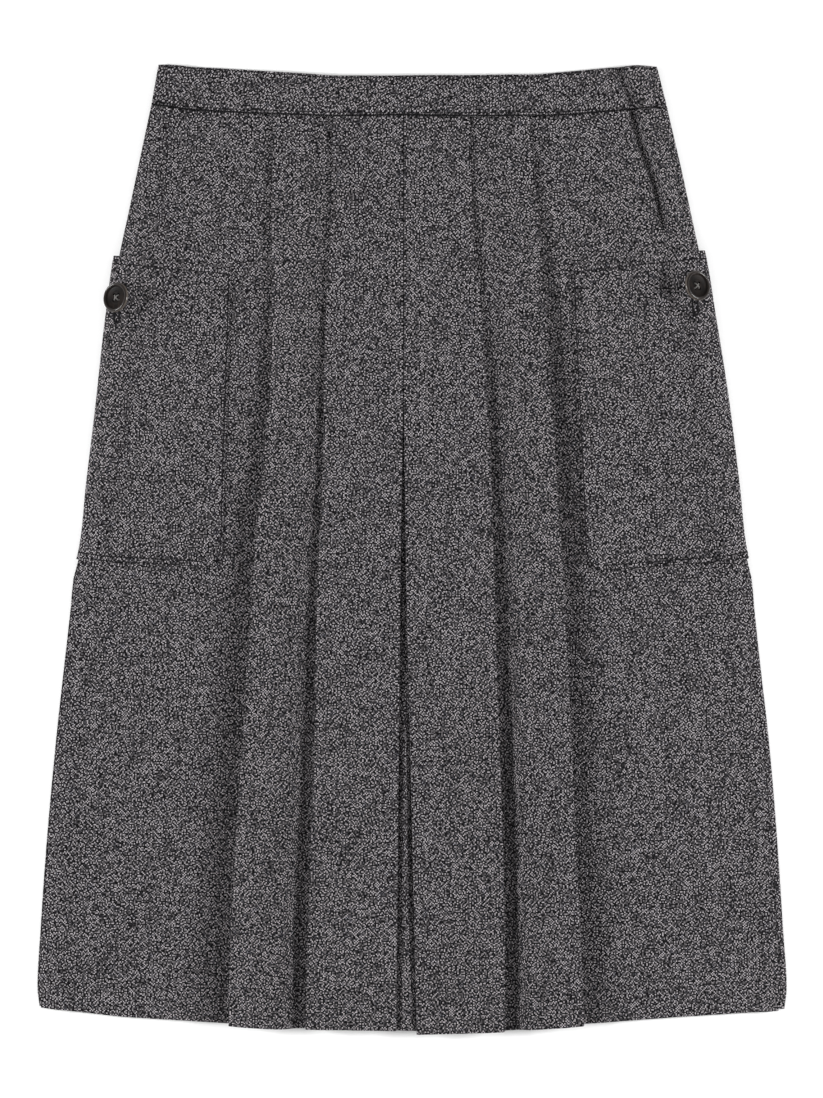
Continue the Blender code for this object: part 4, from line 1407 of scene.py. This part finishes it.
def height_on(face, x, down):
    """A face's height at a place, with every column read at that distance down."""
    columns = [[np.interp(down, line[:, 1], line[:, axis]) for axis in (0, 2)]
               for line in face.transpose(1, 0, 2)]
    at, height = np.array(sorted(columns)).T
    return float(np.interp(x, at, height))


def twist(face, *ends):
    """A buttonhole's stitch between two (x, down) places of a face."""
    return *((x, down, height_on(face, x, down) + TWIST_RISE) for x, down in ends), TWIST_WIDTH


def buttonhole(face, half):
    """Stitches side by side down both sides of the slit and round its foot."""
    x_foot, down_foot = BUTTONHOLE_FOOT[half]
    near, far = TWIST_REACH
    down_foot -= far
    stitches = []
    for i in range(int(BUTTONHOLE_LENGTH / TWIST_PITCH)):
        down = down_foot - i * TWIST_PITCH
        x = x_foot + BUTTONHOLE_LEAN[half] * i * TWIST_PITCH
        stitches += [twist(face, (x - near, down), (x - far, down)),
                     twist(face, (x + near, down), (x + far, down))]
    for i in range(1, TWISTS_ROUND_FOOT):
        angle = math.pi * i / TWISTS_ROUND_FOOT
        aside, ahead = math.cos(angle), math.sin(angle)
        stitches.append(twist(face, (x_foot + aside * near, down_foot + ahead * near),
                              (x_foot + aside * far, down_foot + ahead * far)))
    return stitches


def bar_tack(face, half):
    """A short bar of close stitches that holds the pocket's inner corner."""
    start, end, down = BAR_TACK[half]
    above, below = down - BAR_TACK_REACH, down + BAR_TACK_REACH
    return [twist(face, (x, above), (x, below)) for x in np.arange(start, end, TWIST_PITCH)]


def as_thread(name, stitches, look):
    """One piece of all stitches: rounded lengths of thread, half sunk in the cloth."""
    whole = bmesh.new()
    part = bpy.data.meshes.new("some_stitches")
    for first in range(0, len(stitches), STITCHES_AT_ONCE):
        shape = bmesh.new()
        for start, end, width in stitches[first:first + STITCHES_AT_ONCE]:
            start, end = Vector(start), Vector(end)
            turned = (end - start).to_track_quat("X", "Z").to_matrix().to_4x4()
            size = Matrix.Diagonal(((end - start).length / 2, width / 2, width / 2, 1.0))
            bmesh.ops.create_uvsphere(
                shape, u_segments=6, v_segments=4, radius=1.0,
                matrix=Matrix.Translation((start + end) / 2) @ turned @ size,
            )
        shape.to_mesh(part)
        shape.free()
        whole.from_mesh(part)
    bpy.data.meshes.remove(part)
    for vert in whole.verts:
        vert.co = in_place(vert.co)
    bmesh.ops.recalc_face_normals(whole, faces=whole.faces)
    mesh = as_mesh(name, whole)
    mesh.shade_smooth()
    return add_piece(name, mesh, look)


def edge_row(half, face, inside):
    """A row down the inner edge and round the lower corner, on the front."""
    plan = np.vstack([face[:, 0, :2], face[-1, 1:, :2][inside[1:] <= POCKET_CORNER]])
    plan = moved_out(plan, -facing(half) * FOOT_STITCHES[0])
    plan = plan[plan[:, 1] > face[0, 0, 1] + MOUTH_STITCH]
    return np.array([(x, down, height_on(face, x, down)) for x, down in plan])


def sew_pocket(half, points, front, inside, look, twist_look):
    """Rows below the mouth and along the foot on both faces, and round the front's corner."""
    face = outer_side(points, CLOTH, -facing(half))
    past_corner = face[:, inside > POCKET_CORNER]
    stitches = sewn(stitch_line(face, MOUTH_STITCH)) + sewn(edge_row(half, face[:, front], inside[front]))
    for distance in FOOT_STITCHES:
        stitches += sewn(stitch_line(past_corner, -distance))
    stitches += bar_tack(face[:, front], half)
    return (as_thread(f"pocket_{half}_stitches", stitches, look),
            as_thread(f"buttonhole_{half}_stitches", buttonhole(face[:, front], half), twist_look))


def sew_band(points, look):
    """Rows along both edges, and on the front the waist seam's own row, sunk in its ditch."""
    face = outer_side(points, BAND_WALL, -1.0)
    foot = face[-1]
    in_ditch = foot[foot[:, 2] > BAND_ROLL / 2] + (0.0, SEAM_DITCH / 2, -SEAM_SUNK)
    rows = sewn(stitch_line(face, BAND_STITCHES[0])) + sewn(stitch_line(face, -BAND_STITCHES[1]))
    return as_thread("waistband_stitches", rows + sewn(in_ditch), look)


TOOTH_PITCH = 1.2
TOOTH_WIDTH = 0.9
TOOTH_REACH = (0.5, 2.2)
TOOTHLESS_ENDS = (4.0, 3.0)


def make_zip_teeth(look):
    """Two interlocked rows of short coils down the middle of the tape, on its inner face."""
    teeth = []
    start, end = ZIP_LEVELS[0][0] + TOOTHLESS_ENDS[0], ZIP_LEVELS[-1][0] - TOOTHLESS_ENDS[1]
    for i, down in enumerate(np.arange(start, end, TOOTH_PITCH)):
        side = 1.0 if i % 2 else -1.0
        up = float(read(ZIP_LEVELS, down)) + TAPE
        past, own = CENTRE_BACK - side * TOOTH_REACH[0], CENTRE_BACK + side * TOOTH_REACH[1]
        teeth.append(((past, down, up), (own, down, up), TOOTH_WIDTH))
    return as_thread("zip_teeth", teeth, look)


def dress(piece, nodes=()):
    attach(piece, "root")
    if nodes:
        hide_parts(*nodes)


# Camera, floor and light, in metres
CAMERA_LENS = 120.0
CAMERA_SENSOR = 36.0
CAMERA_MIDDLE = (-0.0005, -0.0001)
PICTURE_ROWS = 1098
ROW_LENGTH = 0.74
VIEW_LENGTH = PICTURE_ROWS * ROW_LENGTH * MM
CLOTH_TOP = 0.006
LIGHT_HEIGHT = 1.2
LIGHT_ASIDE = 2.2
LIGHT_SIZE = 0.8
LIGHT_POWER = 68.0
AIR_LIGHT = 0.5
FLOOR_SIZE = 6.0
FLOOR_GRID = 8


def make_camera():
    camera = bpy.data.cameras.new("camera")
    camera.lens = CAMERA_LENS
    camera.sensor_width = CAMERA_SENSOR
    made = bpy.data.objects.new("camera", camera)
    made.location = (*CAMERA_MIDDLE, VIEW_LENGTH * CAMERA_LENS / CAMERA_SENSOR + CLOTH_TOP)
    bpy.context.scene.collection.objects.link(made)
    bpy.context.scene.camera = made


def make_floor():
    shape = bmesh.new()
    bmesh.ops.create_grid(shape, x_segments=FLOOR_GRID, y_segments=FLOOR_GRID, size=FLOOR_SIZE / 2)
    floor = add_piece("floor", as_mesh("floor", shape), floor_look())
    return floor


def make_light():
    """One soft lamp on each side, both turned to the middle, in pale air."""
    for half in HALVES:
        light = bpy.data.lights.new(f"studio_light_{half}", "AREA")
        light.shape = "SQUARE"
        light.size = LIGHT_SIZE
        light.energy = LIGHT_POWER
        made = bpy.data.objects.new(f"studio_light_{half}", light)
        made.location = (facing(half) * LIGHT_ASIDE, 0.0, LIGHT_HEIGHT)
        made.rotation_euler = (0.0, facing(half) * math.atan2(LIGHT_ASIDE, LIGHT_HEIGHT), 0.0)
        made.visible_camera = False
        bpy.context.scene.collection.objects.link(made)
    world = bpy.data.worlds.new("studio_air")
    world.use_nodes = True
    world.node_tree.nodes["Background"].inputs["Color"].default_value = (1.0, 1.0, 1.0, 1.0)
    world.node_tree.nodes["Background"].inputs["Strength"].default_value = AIR_LIGHT
    bpy.context.scene.world = world


make_camera()
floor = make_floor()
make_light()
bpy.context.scene.view_settings.view_transform = "Standard"
wool, tape, metal = wool_look(), tape_look(), metal_look()
horn = {half: horn_look(half) for half in HALVES}
# Real stitches, with painted shade: their near-black colour also stands for the shade in their furrows
# and at the pocket's edge
thread = thread_look("near_black_thread_and_painted_shade", (0.003, 0.003, 0.0035), (0.012, 0.011, 0.013))
button_twist = thread_look("dark_button_twist", (0.003, 0.003, 0.0035), (0.013, 0.012, 0.014))
button_sewing_thread = thread_look("pale_button_thread", (0.04, 0.039, 0.038), (0.26, 0.25, 0.24))

backs, fronts, pockets = {}, {}, {}
for half in HALVES:
    backs[half] = make_back(half, wool)
    fronts[half] = make_front(half, wool)
    pockets[half], *pocket_form = make_pocket(half, wool)
    button, button_sewing = make_button(half, horn[half], button_sewing_thread)
    dress(button, [f"button_{half}"])
    for stitches in (button_sewing, *sew_pocket(half, *pocket_form, thread, button_twist)):
        dress(stitches)
    for name, piece in (("back", backs), ("front", fronts), ("pocket", pockets)):
        dress(piece[half], [f"{name}_{half}"])
underlay = make_underlay(wool)
band, band_points = make_waistband(wool)
zip_tape = make_zip(tape)
dress(underlay, ["centre_underlay"])
dress(band, ["waistband"])
dress(sew_band(band_points, thread))
dress(zip_tape, ["back_zip"])
dress(make_zip_teeth(metal))
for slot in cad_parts["zip_slider"].material_slots:
    slot.material = metal
